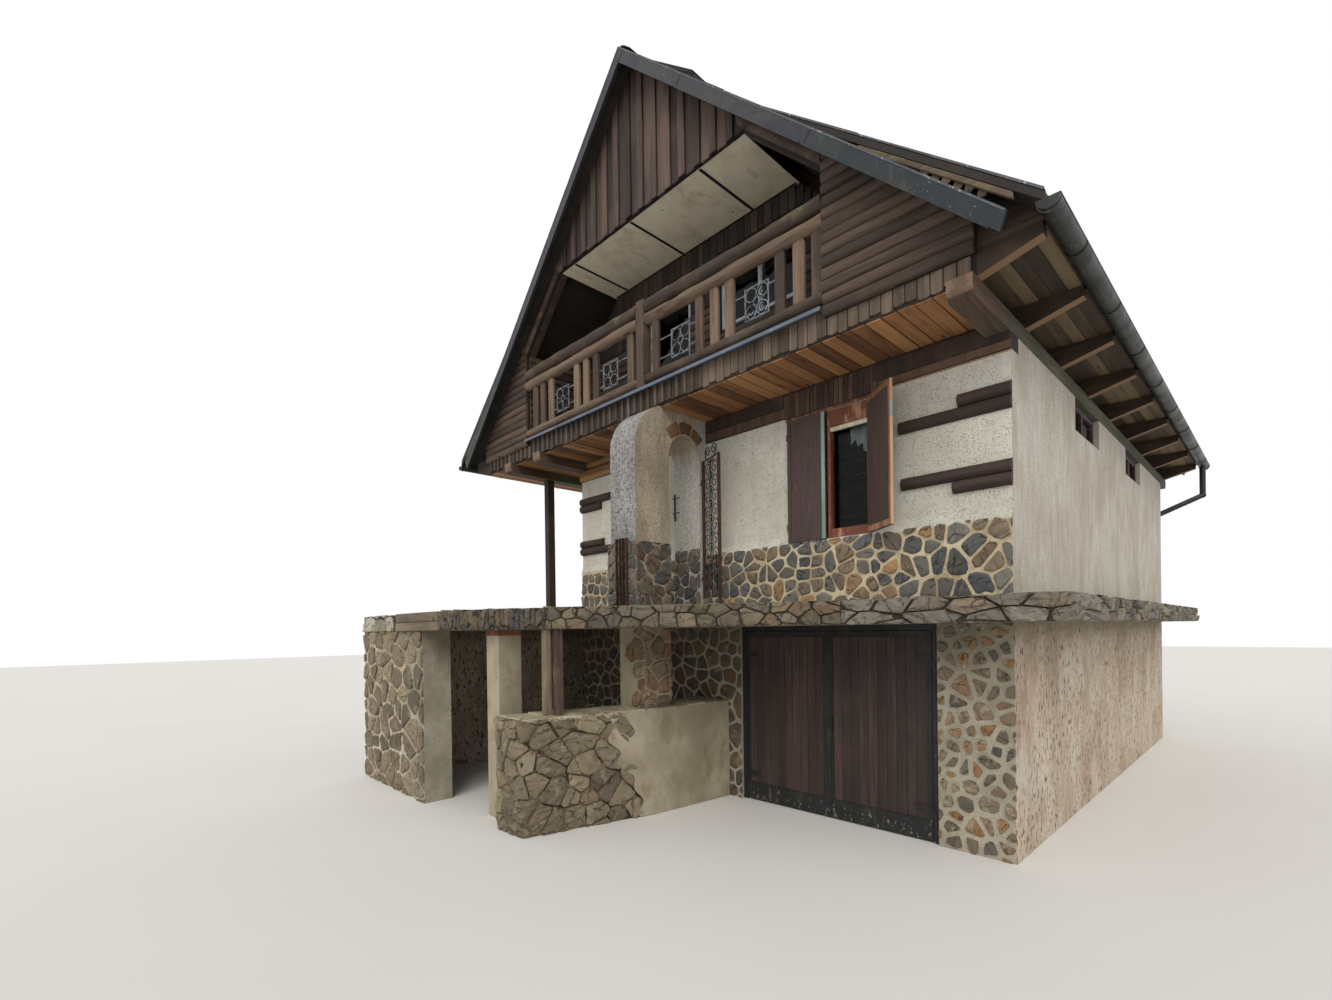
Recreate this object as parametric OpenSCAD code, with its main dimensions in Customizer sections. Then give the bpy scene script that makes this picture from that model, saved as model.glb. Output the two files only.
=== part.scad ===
// Alpine chalet on a masonry garage storey: stone and roughcast below, a log-clad loggia gable above.
// X runs along the front, Y to the back, Z up. The origin is on the ground under the middle of the masonry.

/* [Masonry] */
// Width of the masonry house over its outer faces
house_w = 6350; // [6000:50:7200]
// Length of the masonry house over its outer faces
house_l = 8430; // [7400:50:10000]
// Thickness of the masonry walls
wall_t = 400; // [300:10:450]
// Height from the ground to the underside of the terrace slab
basement_h = 2130; // [2050:10:2600]
// Thickness of the garage floor
garage_floor_t = 100; // [60:10:150]
// Thickness of the terrace slab and of the main floor
slab_t = 220; // [180:10:260]
// Height of the beam that lies on the front wall
beam_h = 150; // [120:10:200]

/* [Garage] */
// Distance from the right corner to the garage opening
garage_edge = 675; // [500:25:900]
// Width of the garage opening
garage_w = 2400; // [2100:50:2500]
// Side of the square tube of the garage frame
tube = 60; // [40:5:80]
// Thickness of a garage leaf
garage_leaf_t = 40; // [30:5:50]
// Height of the steel bottom rail of a garage leaf
garage_rail_h = 200; // [120:10:300]

/* [Terrace] */
// Width of the ledge along the right side and at the right end of the front
ledge_w = 494; // [400:10:600]
// Depth of the terrace in front of the house at its left end
terrace_depth = 2880; // [2600:20:3200]
// How far the terrace reaches past the left wall
terrace_left = 1550; // [1300:50:1800]
// Length of the front edge along which the terrace widens
flare_l = 5400; // [5000:50:5600]
// Height of the retaining wall beside the driveway
retaining_h = 1200; // [900:50:1500]
// Thickness of the retaining wall
retaining_t = 500; // [400:10:600]
// Thickness of the rubble wall under the outer edge of the terrace
foundation_t = 350; // [250:10:450]
// Distance from the right corner to the rubble pier
rubble_pier_edge = 3450; // [3400:10:3500]
// Distance from the front to the outer face of the rubble pier
rubble_pier_out = 1270; // [1000:10:1400]
// Distance from the right corner to the concrete pier
concrete_pier_edge = 4460; // [4300:10:5000]
// Distance from the front to the outer face of the concrete pier
concrete_pier_out = 2550; // [2200:10:2600]
// Distance from the right corner to the rubble wall under the terrace
foundation_edge = 5750; // [5600:10:6200]
// Side of the square timber props
prop_w = 75; // [60:5:100]

/* [Front wall] */
// Distance from the right corner to the front window
window_edge = 1335; // [1200:5:1500]
// Width of the window openings
window_w = 1005; // [900:5:1050]
// Height of the front window above the terrace
window_sill = 730; // [600:10:1000]
// Height of the front window opening
window_h = 1390; // [1280:10:1600]
// Height of the wall between the front window and the beam over it
lintel_h = 50; // [20:5:200]
// Width of the entrance door opening
door_w = 900; // [800:10:1000]
// Height of the entrance door opening
door_h = 2000; // [1900:10:2100]
// Distance from the right corner to the entrance door
door_edge = 4500; // [4350:10:4700]
// Thickness of the stone facing of the plinths
facing_t = 25; // [15:5:30]
// Height of the wall between the stone plinth and the front window
plinth_gap = 30; // [10:5:200]
// Diameter of the half logs set in the walls
strip_d = 120; // [90:5:140]
// Distance from the front to the nearer small side windows
side_window_near = 2200; // [1800:20:2600]
// Distance from the front to the farther small side windows
side_window_far = 5120; // [4600:20:5600]
// Height of the small side windows under the wall plate
side_window_h = 374; // [250:2:450]
// Length of the small side windows
side_window_l = 1200; // [900:50:1400]

/* [Porch] */
// Distance from the right corner to the right face of the arch wall
arch_edge = 3600; // [3500:10:3800]
// Thickness of the arch wall
arch_t = 460; // [400:10:550]
// Length of the arch wall out from the front wall
arch_l = 1245; // [1150:5:1400]
// Width of the arched opening
arch_w = 540; // [480:10:600]
// Distance from the front wall to the arched opening
arch_back = 150; // [120:10:200]
// Height of the masonry over the crown of the arch, up to the soffit
arch_cover = 280; // [200:10:400]
// Radius of the rounded top at the outer end of the arch wall
arch_round_r = 600; // [500:10:700]

/* [Upper floor] */
// Depth of the overhang of the gable in front of the front wall
front_over = 860; // [700:10:1000]
// Depth of the overhang of the rear gable behind the back wall
back_over = 620; // [400:10:800]
// Height of the wall plates
plate_h = 160; // [120:10:200]
// Width of the wall plates
plate_w = 200; // [160:10:240]
// Height of the floor joists
joist_h = 220; // [180:10:260]
// Width of the joists and the rafters
joist_w = 100; // [70:5:140]
// Number of joists and of rafter pairs
joist_n = 9; // [7:1:11]
// Thickness of the floor boards
board_t = 30; // [20:5:40]
// Thickness of the soffit boards
soffit_t = 20; // [15:1:25]
// Distance of the outer left beam from the left wall
outer_beam = 650; // [500:10:800]
// Side of the square posts under the outer left beam
post_w = 120; // [90:5:160]

/* [Roof] */
// Distance of the ridge from the right wall face
ridge_edge = 3950; // [3800:10:4100]
// Height of the ridge above the upper floor
ridge_up = 4120; // [3900:10:4400]
// Distance from the ridge to where the main slope would meet the upper floor
roof_foot = 4222; // [4150:2:4300]
// Distance from the ridge to the start of the flatter eave
kick_run = 2100; // [1900:10:2600]
// How far the joists reach past the foot of the main slope
tail_out = 178; // [140:2:240]
// How far the covering reaches past the ends of the joists
eave_over = 80; // [50:5:120]
// Clearance of the covering over the ends of the joists
eave_lift = 8; // [4:1:20]
// Thickness of the roof covering with its boards
roof_t = 45; // [30:5:60]
// Depth of the rafters
rafter_h = 140; // [100:10:180]
// Overhang of the roof past the gables
verge = 260; // [200:10:350]
// Height of the bargeboards
barge_h = 130; // [110:5:180]
// Radius of the half-round gutter
gutter_r = 75; // [60:5:90]
// Radius of the downpipe
pipe_r = 45; // [35:5:55]

/* [Gable] */
// Height of one half log of the siding
log_h = 112; // [95:1:130]
// How far a half log stands out of its board
log_out = 36; // [25:1:45]
// Thickness of the boards behind the half logs
siding_t = 40; // [30:5:60]
// Distance from the right wall face to the loggia opening
loggia_edge = 1330; // [1200:10:1500]
// Depth of the loggia behind the gable face
loggia_depth = 1060; // [900:10:1200]
// Height of the loggia ceiling above the upper floor
ceiling_up = 2220; // [2000:10:2400]
// Height of the scalloped fascia boards
fascia_h = 190; // [150:10:240]
// Radius of the top handrail log
rail_r = 77; // [65:1:80]
// Height of the top handrail log above the floor boards
rail_up = 1010; // [900:10:1050]
// Width of a baluster
baluster_w = 130; // [80:5:135]

/* [Hidden] */

// Running gap of a leaf in its frame
gap = 6;
// Gap between a hinge's knuckle and what carries it
seat = 0.3;
// Overlap that joins shapes of one solid
eps = 1;

// Faces of the masonry
xr = house_w / 2;
xl = -xr;
yf = -house_l / 2;
yb = -yf;

// Levels from the ground up
z_terrace = basement_h + slab_t;
z_window = z_terrace + window_sill;
plinth_h = window_sill - plinth_gap;
z_beam = z_window + window_h + lintel_h;
z_plate = z_beam + beam_h;
z_joist = z_plate + plate_h;
z_board = z_joist + joist_h;
z_deck = z_board + board_t;

// Gable planes: outer faces of the siding boards, and the structure behind them
yg = yf - front_over;
yh = yb + back_over;
ys = yg + siding_t;
yt = yh - siding_t;

// Roof: its lines are heights at a distance from the ridge
xm = xr - ridge_edge;
z_ridge = z_deck + ridge_up;
z_ceiling = z_deck + ceiling_up;
slope = ridge_up / roof_foot;
roof_v = roof_t / cos(atan(slope));
rafter_v = rafter_h / cos(atan(slope));
tail_run = roof_foot + tail_out;
eave_run = tail_run + eave_over;

function over_roof(d) = z_ridge - slope * d;
function under_roof(d) = over_roof(d) - roof_v;
function foot_run(z, v) = (z_ridge - roof_v - seat - v - z) / slope;

// The flatter eave, from its start to the ends of the joists
kick_slope = (over_roof(kick_run) - z_deck - eave_lift - roof_v) / (tail_run - kick_run);
function over_kick(d) = over_roof(kick_run) - kick_slope * (d - kick_run);
function under_kick(d) = over_kick(d) - roof_v;

// Front edge of the terrace at a distance from the right corner
function smooth(t) = t * t * (3 - 2 * t);
function edge_out(d) = ledge_w + (terrace_depth - ledge_w) * smooth(min(1, max(0, d / flare_l)));

module block(x0, x1, y0, y1, z0, z1) {
    translate([x0, y0, z0]) cube([x1 - x0, y1 - y0, z1 - z0]);
}

// An outline in X and Z, drawn out along Y
module along_y(y0, y1) {
    translate([0, y1, 0]) rotate([90, 0, 0]) linear_extrude(y1 - y0) children();
}

// An outline in Y and Z, drawn out along X
module along_x(x0, x1) {
    translate([x0, 0, 0]) rotate([90, 0, 90]) linear_extrude(x1 - x0) children();
}

// Both sides of the ridge: what is drawn for the right side, mirrored
module both_slopes() {
    translate([xm, 0, 0]) children();
    translate([xm, 0, 0]) mirror([1, 0, 0]) children();
}

// Everything under the main slopes, lower by a drop, as a prism along Y
module under_prism(y0, y1, z0, drop) {
    run = foot_run(z0, drop);
    translate([xm, 0, 0]) along_y(y0, y1)
        polygon([[-run, z0], [run, z0], [0, under_roof(0) - seat - drop]]);
}

// Masonry of the garage storey

module garage_floor() color("gray")
    block(xl + wall_t, xr - wall_t, yf + wall_t, yb - wall_t, 0, garage_floor_t);

garage_x1 = xr - garage_edge;
garage_x0 = garage_x1 - garage_w;

module basement_wall_right() color("tan")
    block(garage_x1, xr, yf, yf + wall_t, 0, basement_h);

module basement_wall_left() color("tan")
    block(xl, garage_x0, yf, yf + wall_t, 0, basement_h);

// Side and back walls in one
module basement_walls() color("gainsboro")
    difference() {
        block(xl, xr, yf + wall_t, yb, 0, basement_h);
        block(xl + wall_t, xr - wall_t, yf + wall_t - eps, yb - wall_t, -eps, basement_h + eps);
    }

// Garage doors: a tube frame and two leaves that open outwards

frame_back = 30;
y_frame = yf + frame_back;
leaf_z0 = 20;
leaf_z1 = basement_h - tube - gap;
pin_out = 10;
pin_r = 9;
knuckle_h = 60;
hinge_up = 300;
garage_mid = (garage_x0 + garage_x1) / 2;
garage_leaf_w = garage_w / 2 - tube - 1.5 * gap;

// One half of a hinge: a knuckle on the pin's axis and its strap, which lies on the face behind it
module hinge_half(strap, side) {
    translate([0, 0, side > 0 ? seat : -knuckle_h]) {
        cylinder(h = knuckle_h, r = pin_r, $fn = 24);
        translate([side > 0 ? 0 : -strap, pin_out - pin_r, 0]) cube([strap, pin_r, knuckle_h]);
    }
}

module garage_frame() color("#26241f") {
    difference() {
        block(garage_x0, garage_x1, y_frame, y_frame + tube, 0, basement_h);
        block(garage_x0 + tube, garage_x1 - tube, y_frame - eps, y_frame + tube + eps,
              -eps, basement_h - tube);
    }
    for (z = [hinge_up, leaf_z1 - hinge_up]) {
        translate([garage_x0 + tube + gap, y_frame - pin_out, z]) hinge_half(40, -1);
        translate([garage_x1 - tube - gap, y_frame - pin_out, z]) mirror([1, 0, 0]) hinge_half(40, -1);
    }
}

// One leaf from its hinge along +X: steel rails and stiles round recessed boards
module garage_leaf() {
    stile = 55;
    recess = 8;
    difference() {
        cube([garage_leaf_w, garage_leaf_t, leaf_z1 - leaf_z0]);
        translate([stile, -eps, garage_rail_h])
            cube([garage_leaf_w - 2 * stile, recess + eps, leaf_z1 - leaf_z0 - garage_rail_h - stile]);
    }
    for (z = [hinge_up, leaf_z1 - hinge_up]) translate([0, -pin_out, z - leaf_z0]) hinge_half(160, 1);
}

module garage_door_left() color("#33281f")
    translate([garage_x0 + tube + gap, y_frame, leaf_z0]) garage_leaf();

module garage_door_right() color("#33281f")
    translate([garage_x1 - tube - gap, y_frame, leaf_z0]) mirror([1, 0, 0]) garage_leaf();

// Terrace: a slab all round the house, with a stone edge that swings out to the left

slab_back = yb - 230;
flare_steps = 12;
terrace_x0 = xl - terrace_left;
corner_cut = 95;

module terrace_outline() {
    polygon(concat(
        [[xr, slab_back], [xr + ledge_w, slab_back], [xr + ledge_w, yf - ledge_w + corner_cut],
         [xr + ledge_w - corner_cut, yf - ledge_w]],
        [for (i = [0:flare_steps]) let (d = flare_l * i / flare_steps) [xr - d, yf - edge_out(d)]],
        [[terrace_x0, yf - terrace_depth], [terrace_x0, slab_back], [xl, slab_back], [xl, yf], [xr, yf]]
    ));
}

module terrace_slab() color("darkgray")
    translate([0, 0, basement_h]) linear_extrude(slab_t) terrace_outline();

// Retaining wall beside the driveway, from the house out to under the edge of the terrace: its right face
// swings away to the left, as shares of the swing and of the length
retaining_edge = 3300;
retaining_l = 2700;
retaining_swing = 450;
retaining_face = [
    for (p = [[0, 0], [0.07, 0.15], [0.22, 0.46], [0.67, 0.76], [1, 1]])
        [retaining_edge + p[0] * retaining_swing, p[1] * retaining_l]
];

module retaining_wall() color("rosybrown")
    linear_extrude(retaining_h) polygon(concat(
        [for (p = retaining_face) [xr - p[0], yf - p[1]]],
        [for (i = [len(retaining_face) - 1:-1:0])
            let (p = retaining_face[i]) [xr - p[0] - retaining_t, yf - p[1]]]
    ));

// Rubble pier on the retaining wall under the arch wall, and a concrete pier from the ground
rubble_pier_w = 440;
rubble_pier_l = 420;
concrete_pier_w = 280;
rubble_pier_x = xr - rubble_pier_edge;
concrete_pier_x = xr - concrete_pier_edge;

module terrace_piers() color("tan") {
    translate([rubble_pier_x - rubble_pier_w, yf - rubble_pier_out, retaining_h])
        cube([rubble_pier_w, rubble_pier_l, basement_h - retaining_h]);
    translate([concrete_pier_x - concrete_pier_w, yf - concrete_pier_out, 0])
        cube([concrete_pier_w, concrete_pier_w, basement_h]);
}

// Rubble wall under the outer edge of the terrace, at its left end and along its left side
foundation_x1 = xr - foundation_edge;

module terrace_foundation() color("rosybrown")
    difference() {
        block(terrace_x0, foundation_x1, yf - terrace_depth, slab_back, 0, basement_h);
        block(terrace_x0 + foundation_t, foundation_x1 + eps,
              yf - terrace_depth + foundation_t, slab_back + eps, -eps, basement_h + eps);
    }

// Main storey

module main_floor() color("gray")
    block(xl, xr, yf, yb, basement_h, z_terrace);

window_x1 = xr - window_edge;
window_x0 = window_x1 - window_w;
window_z1 = z_window + window_h;
door_x1 = xr - door_edge;
door_x0 = door_x1 - door_w;
door_z1 = z_terrace + door_h;
beam_back = 180;
beam_out = 20;

arch_x1 = xr - arch_edge;
arch_x0 = arch_x1 - arch_t;

module front_wall() color("whitesmoke")
    difference() {
        union() {
            block(xl, xr, yf, yf + wall_t, z_terrace, z_beam);
            block(xl, xr, yf + beam_back, yf + wall_t, z_beam - eps, z_plate);
            block(xl, arch_x0, yf - facing_t, yf + eps, z_terrace, z_terrace + plinth_h);
            block(arch_x1, xr, yf - facing_t, yf + eps, z_terrace, z_terrace + plinth_h);
        }
        block(window_x0, window_x1, yf - eps, yf + wall_t + eps, z_window, window_z1);
        block(door_x0, door_x1, yf - facing_t - eps, yf + wall_t + eps, z_terrace - eps, door_z1);
    }

side_windows_y = [yf + side_window_near, yf + side_window_far];
side_z0 = z_plate - side_window_h;

module side_wall(x0)
    difference() {
        block(x0, x0 + wall_t, yf + wall_t, yb - wall_t, z_terrace, z_plate);
        for (y = side_windows_y)
            block(x0 - eps, x0 + wall_t + eps, y, y + side_window_l, side_z0, z_plate + eps);
    }

module side_walls() color("gainsboro") {
    side_wall(xr - wall_t);
    side_wall(xl);
}

back_window_x = -window_w / 2;

module back_wall() color("gainsboro")
    difference() {
        block(xl, xr, yb - wall_t, yb, z_terrace, z_plate);
        block(back_window_x, back_window_x + window_w, yb - wall_t - eps, yb + eps, z_window, window_z1);
    }

// Half logs set in the front wall: length, height of the axis above the terrace, and side of the wall
strips = [
    [450, 1840, 1], [1010, 1720, 1], [990, 1160, 1], [500, 1045, 1],
    [770, 1840, -1], [520, 1725, -1], [580, 1150, -1], [760, 1035, -1]
];

module log_strips() color("#3a2a22")
    for (s = strips)
        translate([s[2] > 0 ? xr - s[0] : xl, yf, z_terrace + s[1]])
            rotate([0, 90, 0]) intersection() {
                cylinder(h = s[0], d = strip_d, $fn = 48);
                translate([-strip_d, -strip_d, 0]) cube([2 * strip_d, strip_d, s[0]]);
            }

// Windows: casements set back in their openings
casement = 60;
casement_t = 70;
pane_t = 8;
window_back = 60;

// A frame along X with panes between its bars, in the plane Y = 0 to casement_t
module casement_frame(w, h, bars)
    difference() {
        cube([w, casement_t, h]);
        for (i = [0:bars]) let (pane = (w - casement * (bars + 2)) / (bars + 1))
            translate([casement + i * (pane + casement), -eps, casement])
                cube([pane, casement_t + 2 * eps, h - 2 * casement]);
    }

module casement_glass(w, h, bars)
    for (i = [0:bars]) let (pane = (w - casement * (bars + 2)) / (bars + 1))
        translate([casement + i * (pane + casement), (casement_t - pane_t) / 2, casement])
            cube([pane, pane_t, h - 2 * casement]);

// Loggia front: a window and a glazed door in the back wall of the loggia
y_loggia = yg + loggia_depth;
loggia_wall_t = 120;
loggia_door_w = 850;
loggia_door_h = 1950;
loggia_window_w = 1250;
loggia_window_h = 1000;
loggia_door_x = xm - 100;
loggia_window_x = xm + 450;
loggia_window_z = z_deck + loggia_door_h - loggia_window_h;

module each_window(glass) {
    translate([window_x0, yf + window_back, z_window]) opening_fill(glass, window_w, window_h, 1);
    translate([back_window_x, yb - window_back - casement_t, z_window])
        opening_fill(glass, window_w, window_h, 1);
    for (y = side_windows_y) {
        translate([xr - window_back, y, side_z0]) rotate([0, 0, 90])
            opening_fill(glass, side_window_l, side_window_h, 1);
        translate([xl + window_back + casement_t, y, side_z0]) rotate([0, 0, 90])
            opening_fill(glass, side_window_l, side_window_h, 1);
    }
    translate([loggia_door_x - loggia_door_w, y_loggia + 25, z_deck])
        opening_fill(glass, loggia_door_w, loggia_door_h, 0);
    translate([loggia_window_x, y_loggia + 25, loggia_window_z])
        opening_fill(glass, loggia_window_w, loggia_window_h, 1);
}

module opening_fill(glass, w, h, bars) {
    if (glass) casement_glass(w, h, bars);
    else casement_frame(w, h, bars);
}

module window_frames() color("#8a4a2c") each_window(false);

module window_glass() color("lightblue", 0.4) each_window(true);

// Shutters: the left one is shut, the right one stands open
shutter_t = 30;
shutter_pin = 22;
shutter_w = window_w / 2 - gap / 2;
shutter_open = 142;

// Hinges of the shutters: a knuckle on the leaf over a pintle on the wall
shutter_pin_r = 8;
shutter_edge = 12;
shutter_knuckle = 35;
shutter_front = 13;
shutter_hinges = [180, window_h - 180];

// A shutter along +X from its pins, in front of the wall
module shutter_leaf() {
    border = 45;
    difference() {
        translate([shutter_edge, -shutter_front, 0]) cube([shutter_w - shutter_edge, shutter_t, window_h]);
        translate([shutter_edge + border, -shutter_front - eps, border])
            cube([shutter_w - shutter_edge - 2 * border, 6 + eps, window_h - 2 * border]);
    }
    for (z = shutter_hinges) translate([0, 0, z]) {
        cylinder(h = shutter_knuckle, r = shutter_pin_r, $fn = 24);
        translate([0, -3, 0]) cube([shutter_edge + eps, 6, shutter_knuckle]);
    }
}

module shutter_pintles()
    for (x = [window_x0, window_x1], z = shutter_hinges)
        translate([x, yf - shutter_pin, z_window + z - shutter_knuckle - seat]) {
            cylinder(h = shutter_knuckle, r = shutter_pin_r, $fn = 24);
            translate([-3, 0, 0]) cube([6, shutter_pin, shutter_knuckle]);
        }

module shutter_left() color("#43302a")
    translate([window_x0, yf - shutter_pin, z_window]) shutter_leaf();

module shutter_right() color("#43302a")
    translate([window_x1, yf - shutter_pin, z_window]) rotate([0, 0, shutter_open])
        mirror([1, 0, 0]) shutter_leaf();

// Entrance door with two sunk panels
door_rail = 130;
panel_h = (door_h - 3 * door_rail) / 2;
panel_sunk = 15;

module entrance_door() color("#4a3226")
    translate([door_x0, yf + window_back, z_terrace])
        difference() {
            cube([door_w, casement_t, door_h]);
            for (z = [door_rail, 2 * door_rail + panel_h])
                translate([door_rail, -eps, z]) cube([door_w - 2 * door_rail, panel_sunk + eps, panel_h]);
        }

// Porch: the arch wall stands on the terrace and reaches the soffit
arch_y0 = yf - arch_back - arch_w;
arch_top = z_joist - soffit_t;
arch_spring = arch_top - arch_cover - arch_w / 2;
arch_plinth_h = plinth_h + 80;

// Centre of the rounded top, which meets the soffit above the face of the gable
arch_round_y = yf - arch_l + arch_round_r;
arch_round_z = arch_top - sqrt(pow(arch_round_r, 2) - pow(yf - front_over - arch_round_y, 2));

module arch_outline() {
    translate([yf - arch_l, z_terrace]) square([arch_l, arch_round_z - z_terrace]);
    translate([yf - front_over, z_terrace]) square([front_over, arch_top - z_terrace]);
    intersection() {
        translate([arch_round_y, arch_round_z]) circle(r = arch_round_r, $fn = 96);
        translate([yf - arch_l, z_terrace]) square([arch_l - front_over + eps, arch_top - z_terrace]);
    }
}

module arch_wall() color("whitesmoke")
    difference() {
        union() {
            along_x(arch_x0, arch_x1) arch_outline();
            block(arch_x0 - facing_t, arch_x1 + facing_t, yf - arch_l - facing_t, arch_y0 - 20,
                  z_terrace, z_terrace + arch_plinth_h);
        }
        block(arch_x0 - eps, arch_x1 + eps, yf - beam_out, yf + eps, z_beam, arch_top + eps);
        block(arch_x0 - eps, arch_x1 + eps, arch_y0, arch_y0 + arch_w, z_terrace - eps, arch_spring);
        translate([arch_x0 - eps, arch_y0 + arch_w / 2, arch_spring - eps]) rotate([0, 90, 0])
            cylinder(h = arch_t + 2 * eps, d = arch_w, $fn = 64);
    }

// Porch gate: stiles with rails, on two pins in the arch wall; it stands open
gate_l = 500;
gate_z0 = 150;
gate_z1 = 1900;
gate_foot = 30;
gate_t = 30;
gate_pin = 25;
gate_stile = 40;
gate_rail = 12;
gate_open = -22;

gate_h = gate_z1 - gate_z0;
gate_hinges = [0.15 * gate_h, 0.85 * gate_h];
gate_pin_r = 10;
gate_knuckle = 30;

module gate_leaf() {
    translate([gate_pin, -gate_t / 2, 0]) cube([gate_stile, gate_t, gate_h]);
    translate([gate_l - gate_stile, -gate_t / 2, gate_foot - gate_z0])
        cube([gate_stile, gate_t, gate_z1 - gate_foot]);
    for (z = [0, gate_h * 0.24, gate_h - gate_rail])
        translate([gate_pin + gate_stile - eps, -gate_rail / 2, z])
            cube([gate_l - gate_pin - 2 * gate_stile + 2 * eps, gate_rail, gate_rail]);
    for (z = gate_hinges) translate([0, 0, z]) {
        cylinder(h = gate_knuckle, r = gate_pin_r, $fn = 24);
        translate([0, -4, 0]) cube([gate_pin + eps, 8, gate_knuckle]);
    }
}

gate_x = arch_x1 + gate_pin;
gate_y = yf - arch_back + 20;

module porch_gate() color("#1e1b19")
    translate([gate_x, gate_y, z_terrace + gate_z0]) rotate([0, 0, gate_open]) gate_leaf();

// Timber over the walls

// Beams on the front and back walls, filling up between the plates
module wall_beams() color("#3a2a22") {
    block(xl, xr, yf - beam_out, yf + beam_back, z_beam, z_plate);
    block(xl + plate_w, xr - plate_w, yf - beam_out, yf + beam_back, z_plate - eps, z_joist);
    block(xl + plate_w, xr - plate_w, yf + beam_back - eps, yf + wall_t, z_plate, z_joist);
    block(xl + plate_w, xr - plate_w, yb - wall_t, yb, z_plate, z_joist);
}

beam_x1 = xl - outer_beam;

// Plates on the walls and on the posts; their ends come out under the gables, rounded below
plate_out = 60;
plate_round = 90;

module plate_outline()
    union() {
        translate([yg - plate_out + plate_round, z_plate])
            square([yh - yg + 2 * (plate_out - plate_round), plate_h]);
        translate([yg - plate_out, z_plate + plate_round])
            square([yh - yg + 2 * plate_out, plate_h - plate_round]);
        for (y = [yg - plate_out + plate_round, yh + plate_out - plate_round])
            translate([y, z_plate + plate_round]) circle(r = plate_round, $fn = 48);
    }

module wall_plates() color("#4a4a38")
    for (x = [xr - plate_w, xl, beam_x1 - plate_w]) along_x(x, x + plate_w) intersection() {
        plate_outline();
        translate([yg - plate_out, z_plate]) square([yh - yg + 2 * plate_out, plate_h]);
    }

// Two props on the outer end of the retaining wall, and the posts under the outer left beam
props = [[retaining_edge + 568, retaining_l - 330], [retaining_edge + 473, retaining_l - 410]];
post_front = 200;
post_rear = 800;

module timber_posts() color("#4a3a2c") {
    for (p = props)
        translate([xr - p[0], yf - p[1], retaining_h]) cube([prop_w, prop_w, basement_h - retaining_h]);
    for (y = [yf - post_front, -post_front, yb - post_rear])
        translate([beam_x1 - (plate_w + post_w) / 2, y, z_terrace])
            cube([post_w, post_w, z_plate - z_terrace]);
}

joist_step = (yt - ys - joist_w) / (joist_n - 1);
tail_cut = 120;
tail_l = tail_run - ridge_edge;

module floor_joists() color("#5a4030")
    for (i = [0:joist_n - 1])
        translate([xm, 0, 0]) along_y(ys + i * joist_step, ys + i * joist_step + joist_w)
            polygon([
                [-tail_run, z_board], [-tail_run, z_joist + tail_cut], [-ridge_edge, z_joist],
                [ridge_edge, z_joist], [tail_run, z_joist + tail_cut], [tail_run, z_board]
            ]);

module upper_floor() color("#8a6a44")
    block(xm - tail_run, xm + tail_run, ys, yt, z_board, z_deck);

// Boards under the overhangs, between the plates
module soffit() color("#a8703c") {
    block(xl + plate_w, xr - plate_w, ys, yf - beam_out, z_joist - soffit_t, z_joist);
    block(xl + plate_w, xr - plate_w, yb, yt, z_joist - soffit_t, z_joist);
    block(beam_x1, xl, ys, yt, z_joist - soffit_t, z_joist);
    block(xm - ridge_edge, beam_x1 - plate_w, ys, yt, z_joist - soffit_t, z_joist);
}

loggia_x1 = xr - loggia_edge;
loggia_x0 = 2 * xm - loggia_x1;
fascia_z0 = z_joist - soffit_t;
fascia_z1 = fascia_z0 + fascia_h;

// Upright boards over the edge of the floor, cut round the ends of the plates
module fascia(y0, high) {
    difference() {
        union() {
            block(xm - ridge_edge, xm + ridge_edge, y0, y0 + siding_t, fascia_z0, fascia_z1);
            if (high) block(loggia_x0, loggia_x1, y0, y0 + siding_t, fascia_z1 - eps, z_deck);
        }
        for (x = [xr - plate_w, xl, beam_x1 - plate_w])
            block(x, x + plate_w, y0 - eps, y0 + siding_t + eps, fascia_z0 - eps, z_joist);
    }
}

module fascia_boards() color("#5a4034") {
    fascia(yg, true);
    fascia(yt, false);
}

// Half-log siding: boards with half logs on their outer side, in the plane of the front gable
log_r = (pow(log_h / 2, 2) + pow(log_out, 2)) / (2 * log_out);

module log_siding(x0, x1, z0, z1) {
    n = ceil((z1 - z0) / log_h);
    along_x(x0, x1) {
        translate([0, z0]) square([siding_t, z1 - z0]);
        intersection() {
            translate([-log_out, z0]) square([log_out + siding_t / 2, z1 - z0]);
            union() for (i = [0:n - 1])
                translate([log_r - log_out, z0 + (i + 0.5) * log_h]) circle(r = log_r, $fn = 48);
        }
    }
}

module gable_panel(x0, x1)
    intersection() {
        translate([0, yg, 0]) log_siding(x0, x1, fascia_z1, z_ridge);
        under_prism(yg - log_out, ys, fascia_z1, 0);
    }

module gable_panels() color("#4a362c") {
    gable_panel(loggia_x1, xm + ridge_edge);
    gable_panel(xm - ridge_edge, loggia_x0);
}

// Upright boards over the loggia
module gable_top() color("#46342c") {
    under_prism(yg, ys, z_ceiling, 0);
    // Sloping boards from there down to the siding, as deep as a rafter
    intersection() {
        difference() {
            under_prism(yg, ys, z_deck, 0);
            under_prism(yg - eps, ys + eps, z_deck - eps, rafter_v);
        }
        block(loggia_x0, loggia_x1, yg - eps, ys + eps, z_deck + rail_up + 2 * rail_r, z_ceiling + eps);
    }
}

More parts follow.
